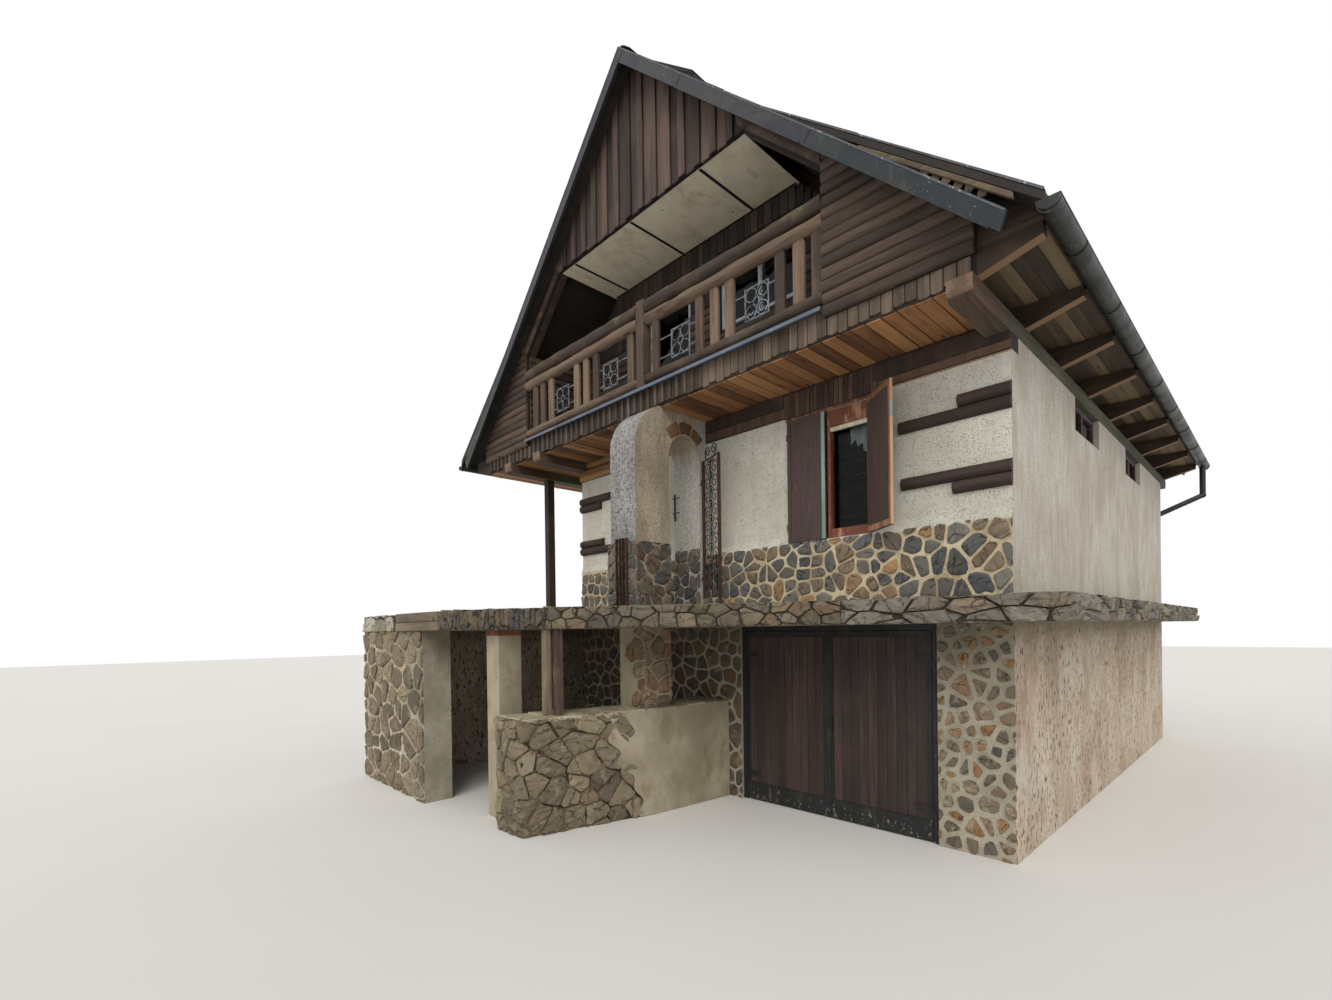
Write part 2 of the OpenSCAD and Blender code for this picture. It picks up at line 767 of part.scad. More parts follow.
// Log walls round the loggia, cut under the rafters, with the openings of its window and door
module loggia_walls() color("#4a362c")
    difference() {
        intersection() {
            union() {
                block(loggia_x0 - loggia_wall_t, loggia_x1 + loggia_wall_t,
                      y_loggia, y_loggia + loggia_wall_t, z_deck, z_ridge);
                for (x = [loggia_x0 - loggia_wall_t, loggia_x1])
                    block(x, x + loggia_wall_t, ys, y_loggia + eps, z_deck, z_ridge);
            }
            under_prism(ys, y_loggia + loggia_wall_t, z_deck, rafter_v);
        }
        block(loggia_door_x - loggia_door_w, loggia_door_x,
              y_loggia - eps, y_loggia + loggia_wall_t + eps, z_deck - eps, z_deck + loggia_door_h);
        block(loggia_window_x, loggia_window_x + loggia_window_w,
              y_loggia - eps, y_loggia + loggia_wall_t + eps,
              loggia_window_z, loggia_window_z + loggia_window_h);
    }

ceiling_t = 20;

module loggia_ceiling() color("beige")
    intersection() {
        block(xm - ridge_edge, xm + ridge_edge, ys, y_loggia, z_ceiling, z_ceiling + ceiling_t);
        under_prism(ys, y_loggia, z_ceiling, rafter_v);
    }

flashing_t = 6;
flashing_out = 70;

module balcony_flashing() color("steelblue")
    along_x(loggia_x0, loggia_x1)
        polygon([
            [yg - flashing_out, z_deck - 30], [yg - flashing_out + flashing_t, z_deck - 30],
            [yg - flashing_out + flashing_t, z_deck], [ys + 60, z_deck], [ys + 60, z_deck + flashing_t],
            [yg - flashing_out, z_deck + flashing_t]
        ]);

// Balcony: logs between the panels, balusters, a post in the middle
rail_y = yg + 20;
second_r = rail_r - 6;
second_z = z_deck + rail_up - rail_r - second_r - 18;
foot_r = 55;
foot_z = z_deck + flashing_t + foot_r + 55;
centre_w = 150;
rail_z = z_deck + rail_up;

balcony_mid = xm + 75;

module rail(r, z)
    for (x = [[loggia_x0, balcony_mid - centre_w / 2], [balcony_mid + centre_w / 2, loggia_x1]])
        translate([x[0], rail_y, z]) rotate([0, 90, 0]) cylinder(h = x[1] - x[0], r = r, $fn = 48);

module balcony_rails() color("#5a4232") {
    rail(rail_r, rail_z);
    rail(second_r, second_z);
    rail(foot_r, foot_z);
}

baluster_places = [235, 955, 1180, 1400, 2050, 2270, 2475];
baluster_t = 40;
baluster_z1 = second_z - second_r;

module baluster()
    translate([0, rail_y + baluster_t / 2, foot_z + foot_r]) rotate([90, 0, 0]) linear_extrude(baluster_t) {
        h = baluster_z1 - foot_z - foot_r;
        translate([-baluster_w / 2, 0]) square([baluster_w, h - baluster_w / 2]);
        translate([0, h - baluster_w / 2]) circle(d = baluster_w, $fn = 32);
    }

module balusters() color("#6a4c38") {
    for (s = [-1, 1], d = baluster_places) translate([balcony_mid + s * d, 0, 0]) baluster();
    block(balcony_mid - centre_w / 2, balcony_mid + centre_w / 2, rail_y - 60, rail_y + 60,
          z_deck + flashing_t, rail_z + rail_r);
}

// Ironwork: frames between balusters, a bracket with two hooks in the arch, pintles of the gate and shutters
iron_w = 310;
iron_h = 340;
iron_t = 12;
iron_bar = 12;
iron_frames = [[650, 0], [1755, 3]];
iron_arm = 50;
bracket_up = 1205;
bracket_h = 360;
bracket_w = 25;
bracket_l = 130;
bracket_out = 55;

scroll_r = iron_w / 4 - 5;
scroll_mid_r = 44;

module ring(r)
    difference() {
        circle(r = r, $fn = 48);
        circle(r = r - 9, $fn = 48);
    }

// A frame filled with scrolls, with two bars that run from one baluster to the next
module iron_frame(x, x0, x1)
    translate([0, rail_y - iron_t / 2, foot_z + foot_r + 60]) {
        translate([x, 0, 0]) along_y(0, iron_t) {
            difference() {
                translate([-iron_w / 2, 0]) square([iron_w, iron_h]);
                translate([iron_bar - iron_w / 2, iron_bar])
                    square([iron_w - 2 * iron_bar, iron_h - 2 * iron_bar]);
            }
            for (i = [-1, 1], z = [iron_bar + scroll_r - 2, iron_h - iron_bar - scroll_r + 2])
                translate([i * (scroll_r - 1), z]) ring(scroll_r);
            translate([0, iron_h / 2]) ring(scroll_mid_r);
        }
        for (z = [iron_arm, iron_h - iron_arm - iron_bar]) {
            translate([x0, 0, z]) cube([x - iron_w / 2 - x0 + eps, iron_t, iron_bar]);
            translate([x + iron_w / 2 - eps, 0, z]) cube([x1 - x - iron_w / 2 + eps, iron_t, iron_bar]);
        }
    }

module ironwork() color("#1e1b19") {
    for (f = iron_frames) let (
        x0 = baluster_places[f[1]] + baluster_w / 2,
        x1 = baluster_places[f[1] + 1] - baluster_w / 2
    ) {
        translate([balcony_mid, 0, 0]) iron_frame(f[0], x0, x1);
        translate([balcony_mid, 0, 0]) mirror([1, 0, 0]) iron_frame(f[0], x0, x1);
    }
    translate([arch_x0, yf - arch_back, z_terrace + bracket_up]) {
        translate([0, -iron_bar, 0]) cube([bracket_w, iron_bar, bracket_h]);
        for (z = [0.25 * bracket_h, 0.8 * bracket_h]) translate([0, 0, z]) {
            translate([bracket_w - iron_bar, -bracket_out, 0]) cube([iron_bar, bracket_out, iron_bar]);
            translate([bracket_w - iron_bar, -bracket_out, 0]) cube([bracket_l, iron_bar, iron_bar]);
        }
    }
    for (z = gate_hinges) translate([gate_x, gate_y, z_terrace + gate_z0 + z - gate_knuckle - seat]) {
        cylinder(h = gate_knuckle, r = gate_pin_r, $fn = 24);
        translate([-gate_pin, -4, 0]) cube([gate_pin, 8, gate_knuckle]);
    }
    shutter_pintles();
}

module back_gable() color("#4a362c")
    intersection() {
        translate([0, yh, 0]) mirror([0, 1, 0])
            log_siding(xm - ridge_edge, xm + ridge_edge, fascia_z1, z_ridge);
        under_prism(yt, yh + log_out, fascia_z1, 0);
    }

// Roof

// The lower covering goes on down the main slope under the flatter eave
lower_start = kick_run + 300;
lap_run = kick_run + (roof_v + seat) / (slope - kick_slope);
lower_end = foot_run(z_deck, 0) - 10;

module lower_covering() color("#4a4436")
    both_slopes() along_y(yg - verge + barge_t, yh + verge - barge_t)
        polygon([
            [lower_start, under_roof(lower_start)], [lower_start, under_kick(lower_start) - seat],
            [lap_run, over_roof(lap_run)], [lower_end, over_roof(lower_end)],
            [lower_end, under_roof(lower_end)]
        ]);

// Rafters on the floor, each with a sprocket on the lower covering under the flatter eave
sprocket_start = lap_run + 60;
sprocket_foot = lower_end + seat;

module rafters() color("#5a4030")
    for (i = [0:joist_n - 1]) translate([0, ys + i * joist_step, 0]) {
        translate([xm, 0, 0]) along_y(0, joist_w) polygon([
            [0, under_roof(0) - seat], [foot_run(z_deck, 0), z_deck], [foot_run(z_deck, rafter_v), z_deck],
            [0, under_roof(0) - seat - rafter_v],
            [-foot_run(z_deck, rafter_v), z_deck], [-foot_run(z_deck, 0), z_deck]
        ]);
        both_slopes() along_y(0, joist_w) polygon([
            [sprocket_start, over_roof(sprocket_start) + seat],
            [sprocket_start, under_kick(sprocket_start) - seat],
            [tail_run, under_kick(tail_run) - seat], [tail_run, z_deck], [sprocket_foot, z_deck],
            [sprocket_foot, over_roof(sprocket_foot) + seat]
        ]);
    }

module roof_half()
    along_y(yg - verge + barge_t, yh + verge - barge_t)
        polygon([
            [0, z_ridge], [kick_run, over_roof(kick_run)], [eave_run, over_kick(eave_run)],
            [eave_run, under_kick(eave_run)], [kick_run, under_kick(kick_run)], [0, under_roof(0)]
        ]);

module roof_right() color("#3c3a36") translate([xm, 0, 0]) roof_half();

module roof_left() color("#3c3a36") translate([xm, 0, 0]) mirror([1, 0, 0]) roof_half();

// Straight bargeboards in the plane of the verge, with their tops level with the main slopes
barge_t = 40;
barge_run = roof_foot + 30;
barge_heel = barge_run - 50;
barge_v = barge_h / cos(atan(slope));

module bargeboard(y)
    translate([xm, 0, 0]) along_y(y, y + barge_t) polygon([
        [0, z_ridge], [barge_run, over_roof(barge_run)], [barge_heel, over_roof(barge_heel) - barge_v],
        [0, z_ridge - barge_v], [-barge_heel, over_roof(barge_heel) - barge_v],
        [-barge_run, over_roof(barge_run)]
    ]);

module bargeboards() color("#2e3236") {
    bargeboard(yg - verge);
    bargeboard(yh + verge - barge_t);
}

gutter_t = 4;
gutter_x = eave_run + 15;
gutter_z = under_kick(eave_run) + 12;

module half_round(r)
    difference() {
        circle(r = r, $fn = 48);
        translate([-2 * r, 0]) square([4 * r, 2 * r]);
    }

// Half-round gutter with closed ends under the eave, held by a strap on each joist's end
module gutter() {
    translate([gutter_x, 0, gutter_z]) difference() {
        along_y(yg - verge + 30, yh + verge - 20) half_round(gutter_r);
        along_y(yg - verge + 30 + gutter_t, yh + verge - 20 - gutter_t) half_round(gutter_r - gutter_t);
    }
    for (i = [0:joist_n - 1])
        translate([tail_run, ys + i * joist_step + joist_w / 2 - 15, gutter_z - 20])
            cube([gutter_x - gutter_r + gutter_t / 2 - tail_run, 30, 20]);
}

// A round run of pipe from one point to another
module pipe_run(a, b) {
    d = b - a;
    translate(a) rotate([0, acos(d[2] / norm(d)), atan2(d[1], d[0])])
        cylinder(h = norm(d), r = pipe_r, $fn = 32);
}

// From under the gutter down, slanting in to the corner of the house, then down the back wall
pipe_back = yb + pipe_r + 15;
pipe_turn = gutter_z - gutter_r - 515;
pipe_wall = pipe_turn - 340;

module downpipe(top_x, wall_x) {
    top = [top_x, yh - 120, gutter_z - gutter_r];
    turn = [top_x, yh - 120, pipe_turn];
    wall = [wall_x, pipe_back, pipe_wall];
    translate(turn) cylinder(h = top[2] - turn[2], r = pipe_r, $fn = 32);
    translate(turn) sphere(r = pipe_r + 6, $fn = 32);
    pipe_run(turn, wall);
    translate(wall) sphere(r = pipe_r + 6, $fn = 32);
    translate([wall_x, pipe_back, 0]) cylinder(h = pipe_wall, r = pipe_r, $fn = 32);
    for (z = [pipe_wall - 250, z_terrace / 2]) translate([wall_x - 20, yb, z]) cube([40, 20, 30]);
}

module rainwater_pipes() color("#2c2f2c") {
    both_slopes() gutter();
    downpipe(xm + gutter_x, xr - 60);
    downpipe(xm - gutter_x, xl + 60);
}

// Low hood of the chimney: a sheet-metal casing astride the ridge, with a lid flatter than the roof
chimney_w = 1672;
chimney_l = 700;
chimney_y = yf - 700;
chimney_up = 127;
lid_slope = 0.854;

module chimney() color("#2c2a28")
    translate([xm, 0, 0]) along_y(chimney_y, chimney_y + chimney_l)
        polygon([
            [-chimney_w / 2, over_roof(chimney_w / 2) + seat], [0, z_ridge + seat],
            [chimney_w / 2, over_roof(chimney_w / 2) + seat],
            [chimney_w / 2, z_ridge + chimney_up - lid_slope * chimney_w / 2], [0, z_ridge + chimney_up],
            [-chimney_w / 2, z_ridge + chimney_up - lid_slope * chimney_w / 2]
        ]);

garage_floor();
basement_wall_right();
basement_wall_left();
basement_walls();
garage_frame();
garage_door_left();
garage_door_right();
terrace_slab();
retaining_wall();
terrace_piers();
terrace_foundation();
timber_posts();
main_floor();
front_wall();
side_walls();
back_wall();
log_strips();
window_frames();
window_glass();
shutter_left();
shutter_right();
entrance_door();
arch_wall();
porch_gate();
wall_beams();
wall_plates();
floor_joists();
upper_floor();
soffit();
fascia_boards();
gable_panels();
gable_top();
loggia_walls();
loggia_ceiling();
balcony_flashing();
balcony_rails();
balusters();
ironwork();
back_gable();
rafters();
lower_covering();
roof_right();
roof_left();
bargeboards();
rainwater_pipes();
chimney();
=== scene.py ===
import math
import random

import bmesh
import bpy
from mathutils import Matrix, Vector, noise


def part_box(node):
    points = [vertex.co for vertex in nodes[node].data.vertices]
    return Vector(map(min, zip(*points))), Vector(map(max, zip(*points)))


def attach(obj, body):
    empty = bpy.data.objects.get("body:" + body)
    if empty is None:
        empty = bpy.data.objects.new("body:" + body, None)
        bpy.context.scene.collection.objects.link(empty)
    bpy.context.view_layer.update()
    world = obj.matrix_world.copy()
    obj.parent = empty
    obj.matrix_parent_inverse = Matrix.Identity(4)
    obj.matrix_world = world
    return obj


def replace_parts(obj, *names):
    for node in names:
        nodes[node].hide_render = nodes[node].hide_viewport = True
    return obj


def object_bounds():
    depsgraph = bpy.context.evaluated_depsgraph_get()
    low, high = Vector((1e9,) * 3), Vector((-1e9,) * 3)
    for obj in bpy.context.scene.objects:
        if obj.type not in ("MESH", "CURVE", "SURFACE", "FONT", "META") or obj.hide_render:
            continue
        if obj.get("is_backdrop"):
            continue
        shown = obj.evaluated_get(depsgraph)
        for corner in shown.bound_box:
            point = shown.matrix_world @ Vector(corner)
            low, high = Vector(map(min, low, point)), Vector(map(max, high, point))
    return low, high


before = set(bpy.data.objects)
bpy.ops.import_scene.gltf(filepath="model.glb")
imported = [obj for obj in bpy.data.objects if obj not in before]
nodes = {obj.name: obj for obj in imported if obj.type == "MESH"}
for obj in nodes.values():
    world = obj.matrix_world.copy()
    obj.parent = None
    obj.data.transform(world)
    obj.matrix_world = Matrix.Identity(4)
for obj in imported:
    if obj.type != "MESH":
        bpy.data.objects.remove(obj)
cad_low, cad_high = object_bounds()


# Walls of the garage storey: rubble stone in wide lime mortar beside the doors, laid by hand and pointed
# nearly flush, and a rendered wall of blocks along the sides, streaked brown where water runs down it.
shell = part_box("main_floor")
left, right = shell[0].x, shell[1].x
front, back = shell[0].y, shell[1].y
slab, terrace = shell[0].z, shell[1].z


def rgb(red, green, blue):
    """A colour as it is read off a chart, 0 to 255, for a shader's socket."""
    chart = [c / 255 for c in (red, green, blue)]
    return tuple(c / 12.92 if c < 0.04 else ((c + 0.055) / 1.055) ** 2.4 for c in chart) + (1.0,)


class Value:
    """What one socket of a node gives out, with plain arithmetic; tree is the node tree in hand."""
    tree = None

    def __init__(self, socket):
        self.socket = socket

    def __add__(self, other):
        return calc("ADD", self, other)

    def __radd__(self, other):
        return calc("ADD", other, self)

    def __sub__(self, other):
        return calc("SUBTRACT", self, other)

    def __rsub__(self, other):
        return calc("SUBTRACT", other, self)

    def __mul__(self, other):
        return calc("MULTIPLY", self, other)

    def __rmul__(self, other):
        return calc("MULTIPLY", other, self)


def node(kind, inputs, **settings):
    """A shader node with its settings, and with its sockets set or linked."""
    made = Value.tree.nodes.new("ShaderNode" + kind)
    for key, value in settings.items():
        setattr(made, key, value)
    for key, value in inputs.items():
        if isinstance(value, Value):
            Value.tree.links.new(value.socket, made.inputs[key])
        else:
            made.inputs[key].default_value = value
    return made


def wire(kind, inputs, out=0, **settings):
    return Value(node(kind, inputs, **settings).outputs[out])


def calc(operation, a, b=0.0, clamp=False):
    return wire("Math", {0: a, 1: b}, operation=operation, use_clamp=clamp)


def between(value, low, high):
    """0 below low, 1 above high, and a smooth passage between them."""
    return wire("MapRange", {"Value": value, "From Min": low, "From Max": high},
                interpolation_type="SMOOTHSTEP")


def mix(share, a, b, kind="MIX"):
    """Two colours or values mixed; a colour that is written out is read off a chart, 0 to 255."""
    a, b = (rgb(*c) if isinstance(c, tuple) and len(c) == 3 else c for c in (a, b))
    return wire("Mix", {0: share, 6: a, 7: b}, 2, data_type="RGBA", blend_type=kind)


def ramp(value, *stops):
    """Colours along a value: each stop is a place from 0 to 1 and a colour."""
    made = node("ValToRGB", {"Fac": value})
    band = made.color_ramp.elements
    for place, colour in stops[1:-1]:
        band.new(place)
    for element, (place, colour) in zip(band, stops):
        element.position, element.color = place, rgb(*colour)
    return Value(made.outputs[0])


def scaled(vector, scale):
    return wire("Mapping", {"Vector": vector, "Scale": scale})


def cloud(vector, scale, detail=4.0, rough=0.55):
    return wire("TexNoise", {"Vector": vector, "Scale": scale, "Detail": detail, "Roughness": rough})


def crumbs(vector, scale, feature="F1"):
    return wire("TexVoronoi", {"Vector": vector, "Scale": scale}, "Distance", feature=feature)


def relief(height, depth):
    return wire("Bump", {"Height": height, "Distance": depth, "Strength": 1.0})


def axes(vector):
    return [Value(socket) for socket in node("SeparateXYZ", {0: vector}).outputs]


def normal_axes():
    """Which way the surface faces, along the house's three axes."""
    return axes(wire("NewGeometry", {}, "Normal"))


def tone_of():
    """The number that each stone or board of a piece carries, from 0 to 1."""
    return wire("Attribute", {}, "Fac", attribute_name="tone")


def titled(key):
    return key.replace("_", " ").title().replace("Ior", "IOR")


def finish(name, roughness, **plain):
    """A new finish: the function under it lays colour and relief, and its name becomes the material."""
    def lay(paint):
        made = bpy.data.materials.new(name)
        made.use_nodes = True
        Value.tree = made.node_tree
        sockets = made.node_tree.nodes["Principled BSDF"].inputs
        sockets["Roughness"].default_value = roughness
        for key, value in plain.items():
            sockets[titled(key)].default_value = value
        for key, value in paint(wire("TexCoord", {}, "Object")).items():
            made.node_tree.links.new(value.socket, sockets[titled(key)])
        return made
    return lay


def effect(name, takes, gives):
    """A node group that several finishes share, with its inputs and their defaults, and what it gives out."""
    def lay(build):
        made = bpy.data.node_groups.new(name, "ShaderNodeTree")
        for key, value in takes.items():
            kind = "NodeSocketVector" if value is None else "NodeSocketFloat"
            socket = made.interface.new_socket(key, in_out="INPUT", socket_type=kind)
            if value is not None:
                socket.default_value = value
        for key, kind in gives.items():
            made.interface.new_socket(key, in_out="OUTPUT", socket_type="NodeSocket" + kind)
        entry, leave = made.nodes.new("NodeGroupInput"), made.nodes.new("NodeGroupOutput")
        Value.tree = made
        for key, value in build({key: Value(entry.outputs[key]) for key in takes}).items():
            made.links.new(value.socket, leave.inputs[key])
        return made
    return lay


def use(group, **inputs):
    """A shared effect, placed in a finish with its own values; what it gives out, by name."""
    made = node("Group", {titled(key): value for key, value in inputs.items()}, node_tree=group)
    return {socket.name: Value(socket) for socket in made.outputs}


@effect("stone face", {"Vector": None, "Tone": 0.5}, {"Shade": "Float", "Cracks": "Float", "Height": "Float"})
def stone_face(given):
    """Split stone: fine crystals, and cleavage lines and cracks that lie another way in each stone."""
    turned = wire("VectorRotate", {"Vector": given["Vector"], "Axis": (0.3, 1, 0.2),
                                   "Angle": given["Tone"] * 19.0})
    layers = cloud(scaled(turned, (6, 6, 34)), 1.0, 6.0, 0.7)
    blotch = cloud(turned, 13.0, 4.0, 0.6)
    bent = wire("VectorMath", {0: wire("CombineXYZ", {0: blotch, 1: blotch, 2: layers}), 1: (0.1, 0.1, 0.1),
                               2: turned}, operation="MULTIPLY_ADD")
    seams = crumbs(scaled(bent, (3.0, 3.0, 10.0)), 1.0, "DISTANCE_TO_EDGE")
    cracks = between(seams, 0.035, 0.008) * between(blotch, 0.4, 0.55)
    height = layers * 0.7 + blotch * 0.6
    return {"Shade": layers * 0.6 + blotch * 0.4, "Cracks": cracks, "Height": height - cracks * 0.5}


@effect("streaked render", {"Vector": None}, {"Colour": "Color", "Height": "Float"})
def streaked_render(given):
    """Side walls: smooth render with pale and brown runs down it; under the terrace it is pinker, and dark
    drips of damp hang in it. Just under the slab it goes darker and olive: partly staining, partly
    painted shade from the slab."""
    at = given["Vector"]
    z = axes(at)[2]
    broad = between(cloud(scaled(at, (1.6, 1.6, 0.9)), 1.0, 6.0, 0.62), 0.34, 0.66)
    runs = cloud(scaled(at, (11, 11, 2.0)), 1.0, 7.0, 0.7)
    runs = runs * 0.75 + cloud(at, 9.0, 6.0, 0.7) * 0.25
    grains = cloud(scaled(at, (1, 1, 0.5)), 75.0, 5.0, 0.72)
    upper = mix(broad, (202, 197, 188), (182, 171, 156))
    lower = mix(broad, (204, 186, 164), (176, 154, 132))
    under = between(z, terrace, slab)
    colour = mix(under, upper, lower)
    colour = mix(between(runs, 0.5, 0.66) * 0.55, colour, (224, 223, 220))
    brown = between(runs, 0.5, 0.34) * (0.36 - under * 0.2)
    colour = mix(brown, colour, (152, 132, 110))
    colour = mix(between(grains, 0.48, 0.64) * 0.55, colour, (130, 116, 98))
    worn = between(cloud(scaled(at, (1, 1, 0.6)), 2.4, 6.0, 0.66), 0.5, 0.62) * under
    colour = mix(worn * 0.5, colour, (208, 202, 188))
    dots = cloud(scaled(at, (34, 34, 11)), 1.0, 2.0, 0.5)
    thick = between(cloud(scaled(at, (2.0, 2.0, 0.7)), 1.0, 4.0, 0.6), 0.3, 0.5)
    drips = between(dots, 0.58, 0.63) * (under * thick)
    colour = mix(drips * 0.95, colour, (78, 60, 46))
    # A darker olive band just under the slab: partly staining, partly painted shade from the slab.
    damp = between(z + runs * 0.3, 1.98, 2.3) * under
    colour = mix(damp * 0.6, colour, (104, 94, 66))
    height = grains * 0.7 - drips * 0.7
    return {"Colour": colour, "Height": height}


@effect("growth", {"Vector": None, "Amount": 0.3}, {"Mask": "Float"})
def growth(given):
    """Moss and lichen: patches with ragged edges, thicker on faces that look up."""
    patches = cloud(given["Vector"], 3.2, 7.0, 0.72)
    up = normal_axes()[2]
    lift = calc("MAXIMUM", up, -0.3) * 0.12
    level = patches + lift + given["Amount"] * 0.5
    return {"Mask": between(level, 0.66, 0.8)}


def stonework(name, *palette, shade=0.75, grown=0.1, smeared=None):
    """Split field stones, each with a colour from the palette by its number; mortar may lie over them."""
    @finish(name, 0.88)
    def laid(at):
        tone = tone_of()
        face = use(stone_face, vector=at, tone=tone)
        stops = [(i / (len(palette) - 1), colour) for i, colour in enumerate(palette)]
        colour = ramp(tone + (face["Shade"] - 0.5) * 0.16, *stops)
        light = wire("MapRange", {"Value": face["Shade"], "From Min": 0.3, "From Max": 0.7, "To Min": shade,
                                  "To Max": 1.28})
        toned = mix(1.0, colour, wire("CombineColor", {0: light, 1: light, 2: light}), "MULTIPLY")
        moss = use(growth, vector=at, amount=grown)["Mask"]
        split = mix(face["Cracks"] * 0.75, toned, (44, 38, 32))
        if smeared:
            smear = between(cloud(at, 6.5, 7.0, 0.72), 0.53, 0.62)
            split = mix(smear * 0.75, split, smeared)
        green = mix(moss * 0.6, split, (104, 104, 72))
        return {"base_color": green, "normal": relief(face["Height"], 0.012)}
    return laid


def heap():
    return {"verts": [], "faces": [], "tone": []}


def add(to, verts, faces, tone=0.5):
    start = len(to["verts"])
    to["verts"] += [tuple(v) for v in verts]
    to["faces"] += [[start + i for i in face] for face in faces]
    to["tone"] += [tone] * len(verts)


def piece(name, made, material, body="house", smooth=None, bevel=0.0, segments=1):
    """Turns a heap of shapes into one object that rides on a body."""
    mesh = bpy.data.meshes.new(name)
    mesh.from_pydata(made["verts"], [], made["faces"])
    mesh.attributes.new("tone", "FLOAT", "POINT").data.foreach_set("value", made["tone"])
    shapes = bmesh.new()
    shapes.from_mesh(mesh)
    bmesh.ops.recalc_face_normals(shapes, faces=shapes.faces)
    shapes.to_mesh(mesh)
    shapes.free()
    if smooth is not None:
        mesh.shade_smooth()
        mesh.set_sharp_from_angle(angle=math.radians(smooth))
    mesh.materials.append(material)
    made = bpy.data.objects.new(name, mesh)
    bpy.context.scene.collection.objects.link(made)
    if bevel:
        edge = made.modifiers.new("worn edges", "BEVEL")
        edge.width, edge.segments, edge.limit_method = bevel, segments, "ANGLE"
        edge.angle_limit = math.radians(40)
    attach(made, body)
    return made


def clip(outline, across, limit):
    """What of an outline lies on the near side of a line."""
    kept = []
    for i, p in enumerate(outline):
        q = outline[i - 1]
        dp, dq = p.dot(across) - limit, q.dot(across) - limit
        if (dp <= 0) != (dq <= 0):
            kept.append(q.lerp(p, dq / (dq - dp)))
        if dp <= 0:
            kept.append(p)
    return kept


def stone_outlines(width, height, size, joint, chance, stretch, drop, keep):
    """Outlines of stones that fit together over a field, each short of its neighbours by half a joint."""
    columns, rows = max(1, round(width / size / stretch)), max(1, round(height / size))
    wide, high = width / stretch / columns, height / rows
    seeds = []
    for j in range(-1, rows + 1):
        for i in range(-1, columns + 1):
            seed = Vector(((i + 0.25 + 0.5 * (j % 2) + chance.uniform(-0.32, 0.32)) * wide,
                           (j + 0.5 + chance.uniform(-0.36, 0.36)) * high))
            if chance.random() > drop:
                seeds.append(seed)
    corners = [Vector(c) for c in ((0, 0), (width / stretch, 0), (width / stretch, height), (0, height))]
    reach = 3.2 * max(wide, high)
    outlines = []
    for seed in seeds:
        outline = corners
        for other in seeds:
            apart = other - seed
            length = apart.length
            if 0 < length < reach and outline:
                across = apart / length
                outline = clip(outline, across, seed.dot(across) + length / 2 - joint / 2)
        if len(outline) > 2:
            middle = sum(outline, Vector((0, 0))) / len(outline)
            if keep is None or keep(middle.x * stretch, middle.y):
                outlines.append([Vector((p.x * stretch, p.y)) for p in outline])
    return outlines


def lay_stone(to, outline, depth, place, chance, rough, crown, blunt):
    """One stone: its outline loses some of its corners, and its face is broken and a little tilted."""
    middle = sum(outline, Vector((0, 0))) / len(outline)
    ring = []
    for i, p in enumerate(outline):
        q = outline[(i + 1) % len(outline)]
        steps = max(1, round((q - p).length / 0.05))
        ring += [p.lerp(q, (k + blunt) / steps) for k in range(steps)]
    if len(ring) < 3 or max((p - middle).length for p in ring) < 0.025:
        return
    ring = [middle + (p - middle) * (1 - chance.random() * min(0.09, 0.25 * blunt + 0.01)) for p in ring]
    tilt = Vector((chance.uniform(-1, 1), chance.uniform(-1, 1))) * rough * 0.25
    tone = chance.random()
    count, verts, faces = len(ring), [], []
    for share, out in ((1.0, -0.4), (1.0, 0.35), (0.93, 0.85 * crown), (0.6, 1.0)):
        for p in ring:
            at = middle + (p - middle) * share
            lift = 0 if out < 0 else (chance.uniform(-0.5, 0.5) * rough * depth
                                      + tilt.dot(at - middle)) * share
            verts.append(place(at.x, at.y, depth * out + lift))
    verts.append(place(middle.x, middle.y, depth * (1 + chance.uniform(-0.6, 0.6) * rough)))
    for level in range(3):
        for i in range(count):
            j = (i + 1) % count
            faces.append([level * count + i, level * count + j, (level + 1) * count + j,
                          (level + 1) * count + i])
    faces += [[3 * count + i, 3 * count + (i + 1) % count, 4 * count] for i in range(count)]
    add(to, verts, faces, tone)


def masonry(to, place, width, height, size, joint, stretch, drop, depth, rough, blunt, crown=1.0, keep=None,
            chance=None):
    """A field of stones, laid from its lower left corner."""
    for outline in stone_outlines(width, height, size, joint, chance or stones, stretch, drop, keep):
        lay_stone(to, outline, depth, place, stones, rough, crown, blunt)


def facing(x, y, z, along):
    """Where a point of a field of stones lies: along the wall, up it, and out of it."""
    ways = {"front": lambda u, v, d: (x + u, y - d, z + v), "right": lambda u, v, d: (x + d, y + u, z + v),
            "left": lambda u, v, d: (x - d, y - u, z + v), "back": lambda u, v, d: (x - u, y + d, z + v)}
    return ways[along]


def coat(material, *names):
    for name in names:
        nodes[name].data.materials.clear()
        nodes[name].data.materials.append(material)


@finish("grey wall mortar", 0.93)
def wide_mortar(at):
    x, y, z = axes(at)
    broad = between(cloud(at, 2.2, 6.0, 0.66), 0.34, 0.66)
    sand = cloud(at, 52.0, 5.0, 0.72)
    colour = mix(broad, (178, 170, 152), (146, 139, 122))
    colour = mix(between(sand, 0.5, 0.68) * 0.5, colour, (112, 100, 80))
    # Darker and olive towards the top of the wall, under the slab: partly staining, partly painted shade from
    # the slab.
    damp = between(z + cloud(at, 3.0, 4.0) * 0.9, 1.9, 2.7)
    colour = mix(damp * 0.6, colour, (96, 88, 64))
    side = use(streaked_render, vector=at)
    turned = between(calc("ABSOLUTE", x), right - 0.008, right - 0.004)
    colour = mix(turned, colour, side["Colour"])
    return {"base_color": colour, "normal": relief(mix(turned, sand, side["Height"]), 0.008)}


@finish("streaked side render", 0.93)
def side_render(at):
    made = use(streaked_render, vector=at)
    return {"base_color": made["Colour"], "normal": relief(made["Height"], 0.005)}


